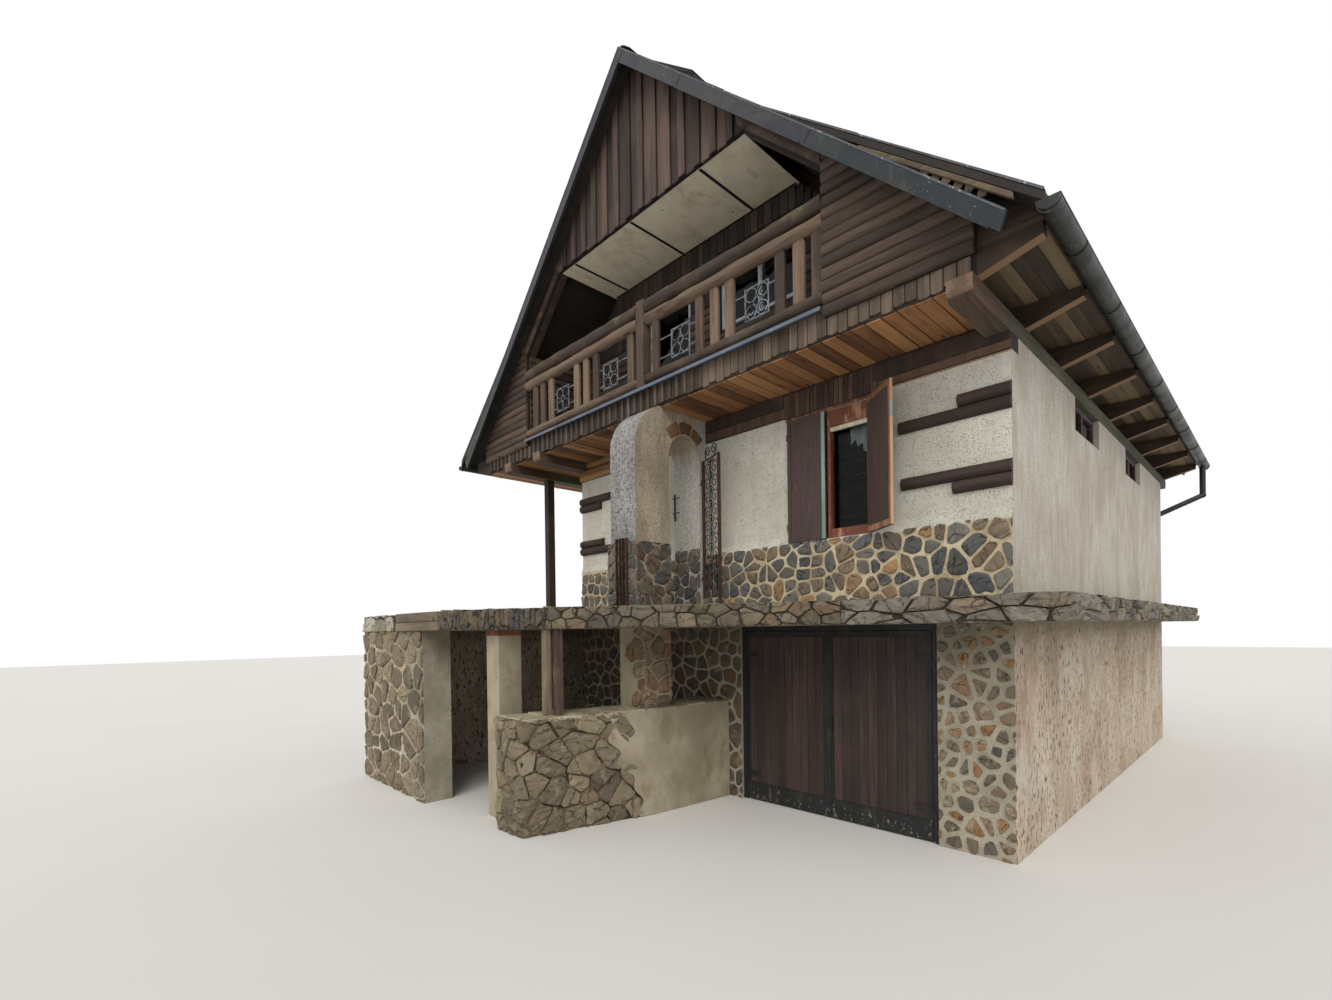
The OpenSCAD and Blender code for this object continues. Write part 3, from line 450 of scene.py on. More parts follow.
stones = random.Random(11)
garage_stone = stonework("garage wall stone", (106, 99, 86), (140, 104, 68), (90, 88, 80), (124, 109, 90),
                         (152, 112, 70), (98, 94, 85), (114, 101, 82), (80, 77, 70), (136, 116, 94),
                         (102, 97, 86), (92, 86, 76), shade=0.66, grown=0.1, smeared=(160, 150, 130))
# The left wall under the terrace takes a darker palette of the same stones: painted shade.
painted_shade_stone = stonework("garage wall stone darkened as painted shade", (78, 72, 60), (92, 82, 66), (70, 68, 62), (108, 88, 64),
                        (84, 78, 68), (96, 74, 54), (74, 70, 62), shade=0.66, grown=0.12,
                        smeared=(130, 120, 96))
coat(wide_mortar, "basement_wall_right", "basement_wall_left")
for wall, size, joint, material in (("basement_wall_right", 0.132, 0.044, garage_stone),
                                    ("basement_wall_left", 0.185, 0.026, painted_shade_stone)):
    low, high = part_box(wall)
    laid_stones = heap()
    masonry(laid_stones, facing(low.x, low.y, low.z, "front"), high.x - low.x, high.z - low.z, size, joint,
            stretch=1.05, drop=0.14, depth=0.013, rough=0.4, blunt=0.2)
    piece("garage_wall_stones_" + wall.split("_")[-1], laid_stones, material, smooth=40)
coat(side_render, "basement_walls")


# Garage floor and main floor: concrete slabs cast on the spot, with a brushed face that has gone grey and is
# stained at the edges.
def concrete(name, pale, deep, stain, mossy=0.2, boards=0.0):
    @finish(name, 0.9)
    def laid(at):
        sand = cloud(at, 60.0, 6.0, 0.7)
        broad = cloud(at, 1.4, 6.0, 0.62)
        colour = mix(between(broad, 0.36, 0.66), pale, deep)
        blots = between(cloud(scaled(at, (1, 1, 0.6)), 3.1, 8.0, 0.7), 0.5, 0.68)
        colour = mix(blots * 0.6, colour, stain)
        colour = mix(between(sand, 0.56, 0.7) * 0.35, colour, deep)
        moss = use(growth, vector=at, amount=mossy)["Mask"]
        colour = mix(moss * 0.55, colour, (98, 102, 66))
        height = sand + broad * 2.0
        if boards:
            marks = wire("Math", {0: axes(at)[1], 1: boards}, operation="PINGPONG")
            height = height + between(marks, 0.0, 0.008)
        return {"base_color": colour, "normal": relief(height, 0.005)}
    return laid


floor_concrete = concrete("floor concrete", (150, 146, 136), (122, 118, 108), (98, 92, 80))
coat(floor_concrete, "garage_floor", "main_floor")


# Garage doors: a frame of square steel tube, and two leaves of dark stained boards let into black steel
# rails and stiles. The bottom rails are scuffed white, and the boards are greyed where the sun reaches.
def sheet_metal(name, body, worn, dust, roughness, worn_at, dusty, metal, kicked=0.0):
    """Painted sheet: paint, what shows where that has gone, most below the kicked height, and dust."""
    @finish(name, roughness, metallic=metal)
    def laid(at):
        mottled = cloud(at, 2.2, 6.0, 0.62)
        colour = mix(between(mottled, 0.38, 0.64), body, tuple(0.72 * c for c in rgb(*body)[:3]) + (1.0,))
        flakes = cloud(scaled(at, (1, 1, 0.7)), 21.0, 7.0, 0.74)
        if kicked:
            low = between(axes(at)[2], kicked, 0.4 * kicked)
            flakes = flakes + low * 0.08
        chips = between(flakes, worn_at, worn_at + 0.05)
        colour = mix(chips * 0.75, colour, worn)
        runs = between(cloud(scaled(at, (14, 14, 1.5)), 1.0, 6.0, 0.66), 0.5, 0.72)
        colour = mix(runs * dusty, colour, dust)
        dents = cloud(at, 5.0, 2.0)
        rough = wire("MapRange", {"Value": mottled, "From Min": 0.3, "From Max": 0.7,
                                  "To Min": roughness - 0.1, "To Max": min(1.0, roughness + 0.18)})
        return {"base_color": colour, "roughness": rough, "normal": relief(dents + chips * -0.06, 0.012)}
    return laid


door_steel = sheet_metal("black door steel", (32, 33, 34), (158, 152, 142), (76, 68, 58), roughness=0.6,
                         worn_at=0.65, dusty=0.4, metal=0.2, kicked=0.28)
coat(door_steel, "garage_frame", "garage_door_left", "garage_door_right")


@effect("wood", {"Vector": None, "Tone": 0.5}, {"Fibre": "Float", "Band": "Float", "Knots": "Float",
                                                "Height": "Float"})
def wood(given):
    """Wood that grows along X: fibres, broad bands of the year, dry cracks and a few knots."""
    shift = given["Tone"] * 61.0
    off = wire("CombineXYZ", {0: shift, 1: shift, 2: shift})
    at = wire("VectorMath", {0: given["Vector"], 1: off}, operation="ADD")
    fibre = cloud(scaled(at, (2.2, 62, 62)), 1.0, 6.0, 0.7)
    band = cloud(scaled(at, (0.7, 9, 9)), 1.0, 4.0, 0.6)
    crack = between(cloud(scaled(at, (1.1, 34, 34)), 1.0, 3.0, 0.5), 0.66, 0.72)
    knot = crumbs(scaled(at, (1.5, 6.5, 6.5)), 1.0)
    knots = between(knot, 0.13, 0.07)
    height = fibre * 0.6 - crack * 0.8
    return {"Fibre": fibre, "Band": band, "Knots": knots, "Height": height}


def grain_along(at, along):
    """The place turned so that the wood grows along its X."""
    x, y, z = axes(at)
    order = {"x": (x, y, z), "y": (y, x, z), "z": (z, x, y)}[along]
    return wire("CombineXYZ", {0: order[0], 1: order[1], 2: order[2]})


def timber(name, along, dark, mid, light, mossy=0.0, moss=(96, 100, 62), roughness=0.78, bleached=0.25,
           depth=0.003, spread=0.5, knotty=0.7, below=None):
    """Weathered wood in three shades, with lichen, bleached patches and, at times, an underside painted
    lighter as painted light from below.
    """
    @finish(name, roughness)
    def laid(at):
        tone = tone_of()
        made = use(wood, vector=grain_along(at, along), tone=tone)
        body = made["Fibre"] * 0.45 + made["Band"] * 0.55
        body = body + (tone - 0.5) * (spread * 0.5)
        colour = ramp(between(body, 0.22, 0.78), (0.0, dark), (0.5, mid), (1.0, light))
        faded = between(cloud(at, 1.7, 5.0, 0.62), 0.5, 0.72)
        colour = mix(faded * bleached, colour, light)
        colour = mix(made["Knots"] * knotty, colour, dark)
        # Faces that look down take the given lighter colour: painted light, the glow thrown up from the
        # ground under the eaves.
        if below:
            down = between(normal_axes()[2], -0.6, -0.9)
            colour = mix(down * 0.65, colour, below)
        if mossy:
            grown = use(growth, vector=at, amount=mossy)["Mask"]
            colour = mix(grown * 0.8, colour, moss)
        return {"base_color": colour, "normal": relief(made["Height"], depth)}
    return laid


box_sides = [(0, 1, 3, 2), (4, 5, 7, 6), (0, 1, 5, 4), (2, 3, 7, 6), (0, 2, 6, 4), (1, 3, 7, 5)]


def board(to, low, high, tone, shake=0.0, chance=None):
    """A board from corner to corner, with each of its corners a little out of true."""
    corners = [[(low, high)[(i >> k) & 1][k] + (chance.uniform(-shake, shake) if shake else 0)
                for k in range(3)] for i in range(8)]
    add(to, corners, box_sides, tone)


carpenter = random.Random(23)
garage_timber = timber("garage door boards", "z", (30, 23, 21), (50, 37, 33), (80, 60, 52), bleached=0.4,
                       roughness=0.72, spread=0.4, knotty=0.3)
stile, rail = 0.055, 0.2
for side in ("left", "right"):
    boards = heap()
    low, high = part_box("garage_door_" + side)
    face = low.y + 0.019
    count = 10
    for outside in (True, False):
        inset, lift = (stile + 0.003, rail + 0.003) if outside else (0.006, 0.006)
        x0, x1, z0, z1 = low.x + inset, high.x - inset, low.z + lift, high.z - inset
        step = (x1 - x0) / count
        for i in range(count):
            wide = (x0 + i * step + 0.002, x0 + (i + 1) * step - 0.002)
            y0 = face + 0.002 + carpenter.uniform(-0.0012, 0.0012) if outside else high.y - 0.001
            board(boards, (wide[0], y0, z0), (wide[1], y0 + 0.007, z1), carpenter.random(), 0.0008, carpenter)
    piece("garage_boards_" + side, boards, garage_timber, "garage_leaf_" + side, bevel=0.003)


# Door furniture: strap hinges are part of the leaves; a pull handle and a lock box sit on the right leaf's
# stile, and a flat cover strip runs down the meeting edge.
fittings = heap()
low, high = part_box("garage_door_right")
for x0, x1, y0, y1, z0, z1 in ((-0.012, 0.03, 0.008, 0.019, low.z + 0.02, high.z - 0.02),
                               (0.012, 0.05, -0.004, 0.019, 0.98, 1.14),
                               (0.024, 0.036, -0.02, -0.004, 1.0, 1.012),
                               (0.024, 0.036, -0.02, -0.004, 1.1, 1.112),
                               (0.024, 0.036, -0.03, -0.02, 1.0, 1.112)):
    board(fittings, (low.x + x0, low.y + y0, z0), (low.x + x1, low.y + y1, z1), 0.5)
piece("garage_door_fittings", fittings, door_steel, "garage_leaf_right", bevel=0.002)


# Terrace: a slab on the masonry and on piers, faced all round its edge with rough slabs of grey and reddish
# schist that are wedged dry against the concrete, and with thin upright slates at the left.
terrace_concrete = concrete("terrace concrete", (140, 134, 120), (112, 106, 92), (88, 82, 66), 0.3, 0.11)
coat(terrace_concrete, "terrace_slab")
ledge, reach, flare = 0.494, 2.88, 5.4
edge = [Vector((right + ledge, back - 0.23)), Vector((right + ledge, front - ledge + 0.095)),
        Vector((right + ledge - 0.095, front - ledge))]
for i in range(1, 13):
    t = i / 12
    edge.append(Vector((right - flare * t, front - ledge - (reach - ledge) * t * t * (3 - 2 * t))))
terrace_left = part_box("terrace_slab")[0].x
edge += [Vector((terrace_left, front - reach)), Vector((terrace_left, back - 0.23))]


def sheet_faces(rows, columns):
    """Faces of a sheet whose points lie row by row."""
    wide = columns + 1
    return [(n * wide + i, n * wide + i + 1, (n + 1) * wide + i + 1, (n + 1) * wide + i) for n in range(rows)
            for i in range(columns)]


def walk(points, z):
    """Where a field of stones lies that follows a line on plan: along it, up, and out of its left side."""
    runs = [(a, b, (b - a).length) for a, b in zip(points, points[1:])]

    def place(u, v, d):
        for a, b, length in runs:
            if u <= length or b is points[-1]:
                ahead = (b - a) / length
                at = a + ahead * u + Vector((-ahead.y, ahead.x)) * d
                return (at.x, at.y, z + v)
            u -= length
    return place, sum(length for a, b, length in runs)


place, length = walk(edge, slab)
edge_high = terrace - slab + 0.01
crevice = heap()
turns = [0.0]
for a, b in zip(edge, edge[1:]):
    turns.append(turns[-1] + (b - a).length)
add(crevice, [place(min(u, length - 0.001), v, 0.004) for u in turns for v in (0.002, edge_high - 0.014)],
    sheet_faces(len(turns) - 1, 1))
edge_stones, brown_stones, slates, sleeper, blocks = heap(), heap(), heap(), heap(), heap()


def edge_field(to, start, stop, size, joint, stretch, depth, keen, drop=0.1):
    """Stones of one kind along part of the terrace's edge."""
    masonry(to, lambda u, v, d: place(start + u, v, d), stop - start, edge_high, size, joint, stretch, drop,
            depth, rough=0.95, blunt=keen, crown=0.95)


edge_field(edge_stones, 0.0, 3.2, 0.11, 0.006, 2.6, 0.026, 0.1)
edge_field(edge_stones, 3.2, 10.4, 0.105, 0.006, 3.0, 0.034, 0.08)
edge_field(brown_stones, 10.4, 13.4, 0.13, 0.005, 1.5, 0.03, 0.1, 0.16)
edge_field(slates, 13.4, 15.05, 0.215, 0.006, 0.3, 0.04, 0.12, 0.05)
edge_field(blocks, 16.42, 17.6, 0.205, 0.012, 1.7, 0.024, 0.2, 0.0)
edge_field(edge_stones, 17.64, length - 0.01, 0.11, 0.006, 2.6, 0.026, 0.1)
for z0, z1, lay in ((slab + 0.004, slab + 0.108, 0.046), (slab + 0.112, terrace + 0.008, 0.034)):
    board(sleeper, (left - 0.24 + stones.uniform(0, 0.05), front - reach - lay, z0),
          (left + 1.1 + stones.uniform(-0.03, 0.05), front - reach, z1), stones.random(), 0.006, stones)
schist = stonework("terrace schist", (114, 108, 98), (134, 128, 117), (104, 98, 89), (126, 120, 109),
                   (142, 132, 116), (112, 106, 97), (134, 118, 98), shade=0.6, grown=0.14)
brown_stone = stonework("brown edge stones", (112, 102, 84), (94, 86, 72), (130, 116, 92), (104, 98, 88),
                        (122, 102, 82), (88, 82, 72), (120, 110, 94), shade=0.5, grown=0.2)
slate = stonework("edge slates", (84, 80, 72), (108, 98, 82), (74, 73, 70), (120, 102, 78), (88, 84, 76),
                  (100, 88, 72), (78, 79, 80), shade=0.5, grown=0.14)
block_stone = stonework("end blocks", (134, 126, 108), (168, 160, 144), (182, 176, 162), shade=0.7, grown=0.2)
# The dark sheet behind the edge stones, seen in their joints: partly earth, partly painted shade in the
# crevices.
shadow_earth = concrete("earth and painted shade in the joints", (58, 50, 40), (42, 36, 28), (34, 30, 22), 0.1)
piece("terrace_edge_stones", edge_stones, schist, smooth=34)
piece("terrace_edge_brown", brown_stones, brown_stone, smooth=34)
piece("terrace_edge_slates", slates, slate, smooth=34)
piece("terrace_end_blocks", blocks, block_stone, smooth=40)
piece("terrace_edge_joints", crevice, shadow_earth)
piece("terrace_sleeper", sleeper, timber("grey sleeper", "x", (62, 52, 40), (104, 90, 72), (150, 134, 112),
                                         0.2, spread=0.4, depth=0.008), bevel=0.012,
      segments=2)


# Flagstones on the terrace: broken slabs bedded in mortar along its rim in front of the house. The rest of
# the terrace is bare screed.
rim = heap()
rim_line, length = walk(edge[1:-2], terrace)


def on_rim(u, v, d):
    """A place on the terrace's top: along its edge, in from it, and up."""
    x, y, z = rim_line(u, 0, -v)
    return (x, y, z + d)


masonry(rim, on_rim, length, 0.34, size=0.3, joint=0.022, stretch=1.3, drop=0.1, depth=0.012, rough=0.3,
        blunt=0.2)
piece("terrace_rim_flags", rim, schist, smooth=40)


# Retaining wall beside the drive: next to the house smooth plaster stained by rain, which has fallen off
# further out with a ragged edge and shows the rubble behind it; flat slabs bedded in mortar lie on top.
def prism_faces(count):
    """Faces of an outline that is drawn out: both ends, and one along each of its sides."""
    return [range(count), range(count, 2 * count)] + [(i, (i + 1) % count, count + (i + 1) % count, count + i)
                                                      for i in range(count)]


stained_plaster = concrete("stained plaster", (172, 162, 140), (142, 132, 110), (122, 106, 70), 0.12)


@finish("earthy wall mortar", 0.95)
def earthy_mortar(at):
    """Pale brown mortar, washed out of most joints; dark patches in it are painted shade for the depth of
    those joints.
    """
    sand = cloud(at, 52.0, 5.0, 0.72)
    body = mix(between(sand, 0.42, 0.66), (128, 112, 86), (84, 72, 54))
    painted_shade_hollows = between(cloud(at, 5.0, 6.0, 0.7), 0.47, 0.56)
    return {"base_color": mix(painted_shade_hollows, body, (48, 40, 30)), "normal": relief(sand, 0.01)}


coat(earthy_mortar, "retaining_wall")
wall_face = [Vector((right - 3.3 - 0.45 * a, front - 2.7 * b))
             for a, b in ((0, 0), (0.07, 0.15), (0.22, 0.46), (0.67, 0.76), (1, 1))]
along_wall, length = walk(wall_face + [wall_face[-1] + Vector((-0.5, 0))], 0.0)
wall_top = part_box("retaining_wall")[1].z


def torn_edge(z):
    """How far from the house the plaster ends at a height."""
    reach = 1.38 + 0.5 * (z / wall_top) ** 1.4 + 0.16 * noise.noise(Vector((3.1, z * 4.0, 0)))
    return reach + 0.03 * math.sin(23 * z)


rubble = heap()
masonry(rubble, along_wall, length, wall_top, size=0.19, joint=0.008, stretch=1.25, drop=0.16, depth=0.024,
        rough=0.8, blunt=0.15, keep=lambda u, v: u > torn_edge(v) - 0.08)
rubble_stone = stonework("retaining wall rubble", (128, 112, 88), (108, 98, 80), (150, 136, 110),
                         (98, 88, 72), (138, 124, 102), (116, 104, 86), (156, 142, 116), (122, 106, 80),
                         shade=0.58, grown=0.14, smeared=(142, 132, 112))
piece("retaining_wall_rubble", rubble, rubble_stone, smooth=36)
skin, verts = heap(), []
levels, columns = 34, 16
for n in range(levels + 1):
    z = 0.004 + (wall_top - 0.006) * n / levels
    stop = torn_edge(z)
    for k in range(columns + 1):
        u = 0.004 + (stop - 0.004) * k / columns
        lump = 0.004 * noise.noise(Vector((u * 2.2, z * 2.2, 5)))
        verts.append(along_wall(u, z, 0.026 + lump))
    verts.append(along_wall(stop - 0.01, z, 0.002))
add(skin, verts, sheet_faces(levels, columns + 1))
piece("retaining_wall_plaster", skin, stained_plaster, smooth=60)
coping = heap()
back_line = [p + Vector((-0.5, 0)) for p in wall_face]
for n in range(4):
    a, b, c, d = wall_face[n], wall_face[n + 1], back_line[n + 1], back_line[n]
    parts = max(2, round((b - a).length / 0.32))
    for k in range(parts):
        near, far = k / parts, (k + 0.97) / parts
        corners = [a.lerp(b, near) + Vector((0.022, 0)), a.lerp(b, far) + Vector((0.022, 0)), d.lerp(c, far),
                   d.lerp(c, near)]
        low = [(p.x + stones.uniform(-0.008, 0.012), p.y, wall_top - 0.03) for p in corners]
        top = [(p.x, p.y + stones.uniform(-0.008, 0.008), wall_top + stones.uniform(0.006, 0.02))
               for p in corners]
        add(coping, low + top, prism_faces(4), stones.random())
coping_stone = stonework("coping slabs", (168, 156, 130), (146, 134, 108), (186, 174, 148), shade=0.7,
                         grown=0.16)
piece("retaining_wall_coping", coping, coping_stone, bevel=0.01, segments=2)


# Piers under the terrace: one of rubble on the retaining wall, plastered on its left, and one of raw concrete
# that ends in a course of red brick.
coat(stained_plaster, "terrace_piers")
pier_low, pier_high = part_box("terrace_piers")
pier_wide, pier_deep, pier_y = 0.44, 0.42, front - 1.27
pier_stones = heap()
for width, place in ((pier_wide, facing(pier_high.x - pier_wide, pier_y, wall_top, "front")),
                     (pier_deep, facing(pier_high.x, pier_y, wall_top, "right"))):
    masonry(pier_stones, place, width, slab - wall_top, size=0.17, joint=0.02, stretch=1.1, drop=0.08,
            depth=0.022, rough=0.8, blunt=0.15,
            keep=lambda u, v: width == pier_deep or u > 0.2 + 0.06 * math.sin(8 * v))
pier_stone = stonework("pier stone", (106, 94, 76), (140, 104, 78), (146, 128, 100), (96, 88, 76),
                       (128, 112, 90), (136, 96, 72), shade=0.6, grown=0.16, smeared=(140, 128, 102))
piece("rubble_pier_stones", pier_stones, pier_stone, smooth=42)
brick = timber("red brick", "x", (92, 52, 38), (124, 70, 50), (150, 96, 72), bleached=0.3, roughness=0.95,
               knotty=0.0)
bricks = heap()
for i in range(3):
    for j in range(2):
        board(bricks, (pier_low.x - 0.008 + i * 0.1, pier_low.y - 0.008 + j * 0.15, slab - 0.066),
              (pier_low.x + 0.088 + i * 0.1, pier_low.y + 0.138 + j * 0.15, slab - 0.003), stones.random(),
              0.002, stones)
piece("pier_brick_course", bricks, brick, bevel=0.004)


# Rubble wall under the outer edge of the terrace: field stones in wide mortar, built up along the slope. The
# left side of the terrace rests on it.
coat(wide_mortar, "terrace_foundation")
foot_low, foot_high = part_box("terrace_foundation")
base_stones = heap()
for width, place in ((foot_high.x - foot_low.x, facing(foot_low.x, foot_low.y, 0.0, "front")),
                     (foot_high.y - foot_low.y, facing(foot_low.x, foot_high.y, 0.0, "left"))):
    masonry(base_stones, place, width, slab, size=0.24, joint=0.028, stretch=1.3, drop=0.14, depth=0.02,
            rough=0.5, blunt=0.3)
piece("terrace_wall_stones", base_stones, rubble_stone, smooth=42)


# Props and posts: two squared props stand on the retaining wall, one grey and one stained red, and three
# posts carry the outer beam at the left.
post_wood = timber("grey posts", "z", (58, 46, 36), (110, 94, 76), (156, 138, 114), bleached=0.3)
red_post = timber("red stained prop", "z", (42, 30, 25), (72, 51, 43), (132, 114, 94), bleached=0.65)
dark_post = timber("dark terrace posts", "z", (36, 28, 22), (62, 48, 38), (92, 76, 62))
coat(dark_post, "timber_posts")
for name, x, y, wood_of in (("grey_prop", right - 3.868, front - 2.37, post_wood),
                            ("red_prop", right - 3.773, front - 2.29, red_post)):
    prop = heap()
    board(prop, (x - 0.004, y - 0.004, wall_top), (x + 0.079, y + 0.079, slab), 0.6, 0.004, carpenter)
    piece(name, prop, wood_of, bevel=0.008, segments=2)


# Front wall of the main storey: cream roughcast thrown on rough, over a plinth of polygonal stones that are
# bedded in smooth cream mortar and end in a ragged line under the window.
@effect("thrown render", {"Vector": None, "Grain": 55.0}, {"Pits": "Float", "Height": "Float"})
def thrown_render(given):
    """Render thrown on wet: small pits, longer than wide, in clusters over a grainy ground."""
    size = wire("CombineXYZ", {0: 1.0, 1: 1.0, 2: 0.72})
    long_way = wire("VectorMath", {0: given["Vector"], 1: size}, operation="MULTIPLY")
    hole = crumbs(long_way, given["Grain"])
    ragged = hole + cloud(given["Vector"], 130.0, 3.0) * 0.35
    where = between(cloud(given["Vector"], 11.0, 4.0, 0.65), 0.34, 0.54)
    pits = between(ragged, 0.5, 0.38) * where
    grains = cloud(given["Vector"], 90.0, 4.0, 0.7)
    height = grains * 0.6 - pits * 0.7
    return {"Pits": pits, "Height": height}


@effect("rain streaks", {"Vector": None, "Top": 1.0, "Fall": 1.0}, {"Streaks": "Float"})
def rain_streaks(given):
    """Long upright marks, strongest at the top and thinner down the wall."""
    runs = cloud(scaled(given["Vector"], (9, 9, 0.55)), 1.6, 6.0, 0.68)
    soft = cloud(scaled(given["Vector"], (1.3, 1.3, 0.5)), 1.0, 2.0)
    height = axes(given["Vector"])[2]
    down = wire("MapRange", {"Value": given["Top"] - height, "From Max": given["Fall"], "To Min": 1.0,
                             "To Max": 0.35})
    both = between(runs, 0.42, 0.68) * (soft + 0.35)
    return {"Streaks": calc("MULTIPLY", both, down, True)}


@finish("cream roughcast over plinth mortar", 0.93)
def front_render(at):
    x, y, z = axes(at)
    coat_on = use(thrown_render, vector=at, grain=72.0)
    body = mix(between(cloud(at, 0.9, 6.0, 0.6), 0.36, 0.66), (220, 218, 206), (198, 195, 181))
    # The pits of the roughcast are darkened: painted shade in them.
    body = mix(coat_on["Pits"] * 0.7, body, (112, 108, 94))
    rain = use(rain_streaks, vector=at, top=4.55, fall=2.0)["Streaks"]
    body = mix(rain * 0.22, body, (160, 148, 124))
    sand = cloud(at, 46.0, 5.0, 0.7)
    mortar = mix(between(cloud(at, 3.0, 6.0, 0.66), 0.36, 0.66), (212, 198, 168), (168, 150, 120))
    mortar = mix(between(sand, 0.5, 0.66) * 0.4, mortar, (128, 112, 88))
    low = between(z + cloud(at, 9.0, 3.0) * 0.06, 3.10, 3.07)
    height = mix(low, coat_on["Height"], sand * 0.8)
    side = use(streaked_render, vector=at)
    turned = between(calc("ABSOLUTE", x), right - 0.008, right - 0.004)
    height = mix(turned, height, side["Height"])
    return {"base_color": mix(turned, mix(low, body, mortar), side["Colour"]),
            "normal": relief(height, 0.008)}


coat(front_render, "front_wall", "back_wall")
coat(side_render, "side_walls")
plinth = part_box("front_wall")[0].y
porch = Vector((-0.885, -0.425))
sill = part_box("shutter_left")[0].z
plinth_top = sill - 0.03
plinth_stone = stonework("plinth stone", (82, 86, 88), (104, 104, 100), (118, 102, 84), (88, 90, 90),
                         (128, 124, 114), (72, 76, 78), (168, 132, 90), (94, 96, 94), (138, 118, 94),
                         (106, 106, 102), shade=0.66, grown=0.0)
plinth_stones = heap()
for x0, x1, rise, seed in ((porch.y + 0.02, right, 0.0, 5), (left, -2.24, -0.06, 6),
                           (-1.31, porch.x - 0.02, -0.02, 7)):
    masonry(plinth_stones, facing(x0, plinth, terrace, "front"), x1 - x0, plinth_top - terrace + rise + 0.022,
            size=0.152, joint=0.021, stretch=1.08, drop=0.24, depth=0.014, rough=0.55, blunt=0.3,
            chance=random.Random(seed))
piece("plinth_stones", plinth_stones, plinth_stone, smooth=48)


def skirt(to, x0, x1, low, high, y):
    """Render drawn down over the top of the plinth, thick below and thin above, with an uneven edge."""
    steps = max(2, round((x1 - x0) / 0.06))
    rows = ((low - 0.012, 0.0015), (low + 0.006, 0.003), (low + 0.02, 0.0), (low + 0.045, -0.012),
            (high, -0.0235))
    verts = []
    for i in range(steps + 1):
        x = x0 + (x1 - x0) * i / steps
        wave = noise.noise(Vector((x * 5, low, 0)))
        for n, (z, out) in enumerate(rows):
            verts.append((x, y - out * (1 + 0.15 * wave), z + 0.02 * wave * (n < 4)))
    faces = [(i * 5 + n, (i + 1) * 5 + n, (i + 1) * 5 + n + 1, i * 5 + n + 1) for i in range(steps)
             for n in range(4)]
    add(to, verts, faces)


fillet = heap()
for x0, x1 in ((porch.y, 0.73), (1.855, right), (left, -2.225), (-1.325, porch.x)):
    skirt(fillet, x0, x1, plinth_top, plinth_top + 0.11, plinth)
piece("plinth_ledge", fillet, front_render, smooth=60)


# Timber over the walls: beams along the front and back, plates on the side walls whose ends come out rounded
# under the gables, and a joist over each of them. All of it is hewn, stained dark, and green where damp.
stained = timber("dark stained beams", "x", (34, 25, 21), (60, 44, 35), (98, 74, 58), bleached=0.25)
# The joists' undersides are painted lighter: painted light from below.
joist_wood = timber("joists", "x", (42, 32, 24), (72, 54, 40), (108, 84, 62), 0.1, (92, 94, 60),
                    below=(150, 118, 86))
rafter_wood = timber("rafters", "x", (48, 36, 28), (80, 62, 47), (118, 94, 72))


@finish("damp plate timber", 0.82)
def green_plate(at):
    y = axes(at)[1]
    along = use(wood, vector=grain_along(at, "y"), tone=0.3)
    body = along["Fibre"] * 0.6 + along["Band"] * 0.4
    damp = ramp(between(body, 0.26, 0.74), (0.0, (44, 42, 32)), (0.5, (74, 74, 58)), (1.0, (112, 108, 86)))
    brown = ramp(between(body, 0.26, 0.74), (0.0, (40, 30, 24)), (0.5, (76, 58, 46)), (1.0, (112, 90, 72)))
    front_part = between(y + cloud(at, 2.0, 4.0) * 0.8, front + 0.6, front - 0.1)
    colour = mix(front_part, damp, brown)
    moss = use(growth, vector=at, amount=0.16)["Mask"]
    colour = mix(moss * 0.6, colour, (108, 112, 74))
    rings = wire("TexWave", {"Vector": scaled(at, (1, 0.02, 1)), "Scale": 24.0, "Distortion": 6.0,
                             "Detail": 4.0}, "Fac", wave_type="RINGS", rings_direction="Y")
    sawn = mix(rings, (138, 112, 94), (118, 93, 77))
    sawn = mix(between(cloud(at, 7.0, 5.0, 0.7), 0.45, 0.62) * 0.6, sawn, (74, 62, 50))
    facing_y = normal_axes()[1]
    cut = between(calc("ABSOLUTE", facing_y), 0.7, 0.9)
    return {"base_color": mix(cut, colour, sawn), "normal": relief(along["Height"], 0.004)}


coat(stained, "wall_beams")
coat(green_plate, "wall_plates")
coat(joist_wood, "floor_joists")
coat(rafter_wood, "rafters")


# Boards over and under the joists: a boarded floor that runs on under the eaves in weathered grey-green
# boards, and orange-brown boards with open joints under the front and left overhangs.
middle, deck = -0.775, 5.08
gable_front, siding_back, gable_back = front - 0.86, front - 0.82, back + 0.62
siding_end, edge_run, tail = gable_back - 0.04, 3.95, 4.4
joist_low, joist_wide, joist_step = 4.83, 0.1, (gable_back - 0.04 - siding_back - 0.1) / 8
orange = timber("orange overhang boards", "y", (72, 48, 31), (134, 90, 56), (176, 128, 84), bleached=0.3,
                spread=0.9, knotty=0.8)
eave_wood = timber("eave boards", "y", (50, 41, 31), (86, 71, 52), (120, 103, 77), 0.12, (94, 94, 62),
                   spread=0.9)
coat(timber("floor boards", "y", (60, 48, 36), (98, 80, 60), (132, 112, 88)), "upper_floor")
# The boards over the joints are near black: painted shade where the open joints of the overhang boards show.
coat(timber("boards over the joints darkened as painted shade", "y", (34, 25, 18), (52, 39, 28), (74, 56, 42)), "soffit")


def boards_under(to, x0, x1, y0, y1, z, wide, thick, gap, chance):
    """Boards side by side that run along the house, under a plane at one height."""
    count = max(1, round((x1 - x0) / wide))
    wide = (x1 - x0) / count
    for i in range(count):
        sag, open_by = chance.uniform(0, 0.004), gap * chance.uniform(0.6, 1.5)
        board(to, (x0 + i * wide + open_by / 2, y0, z - thick - sag),
              (x0 + (i + 1) * wide - open_by / 2, y1, z - sag * 0.3), chance.random(), 0.0012, chance)


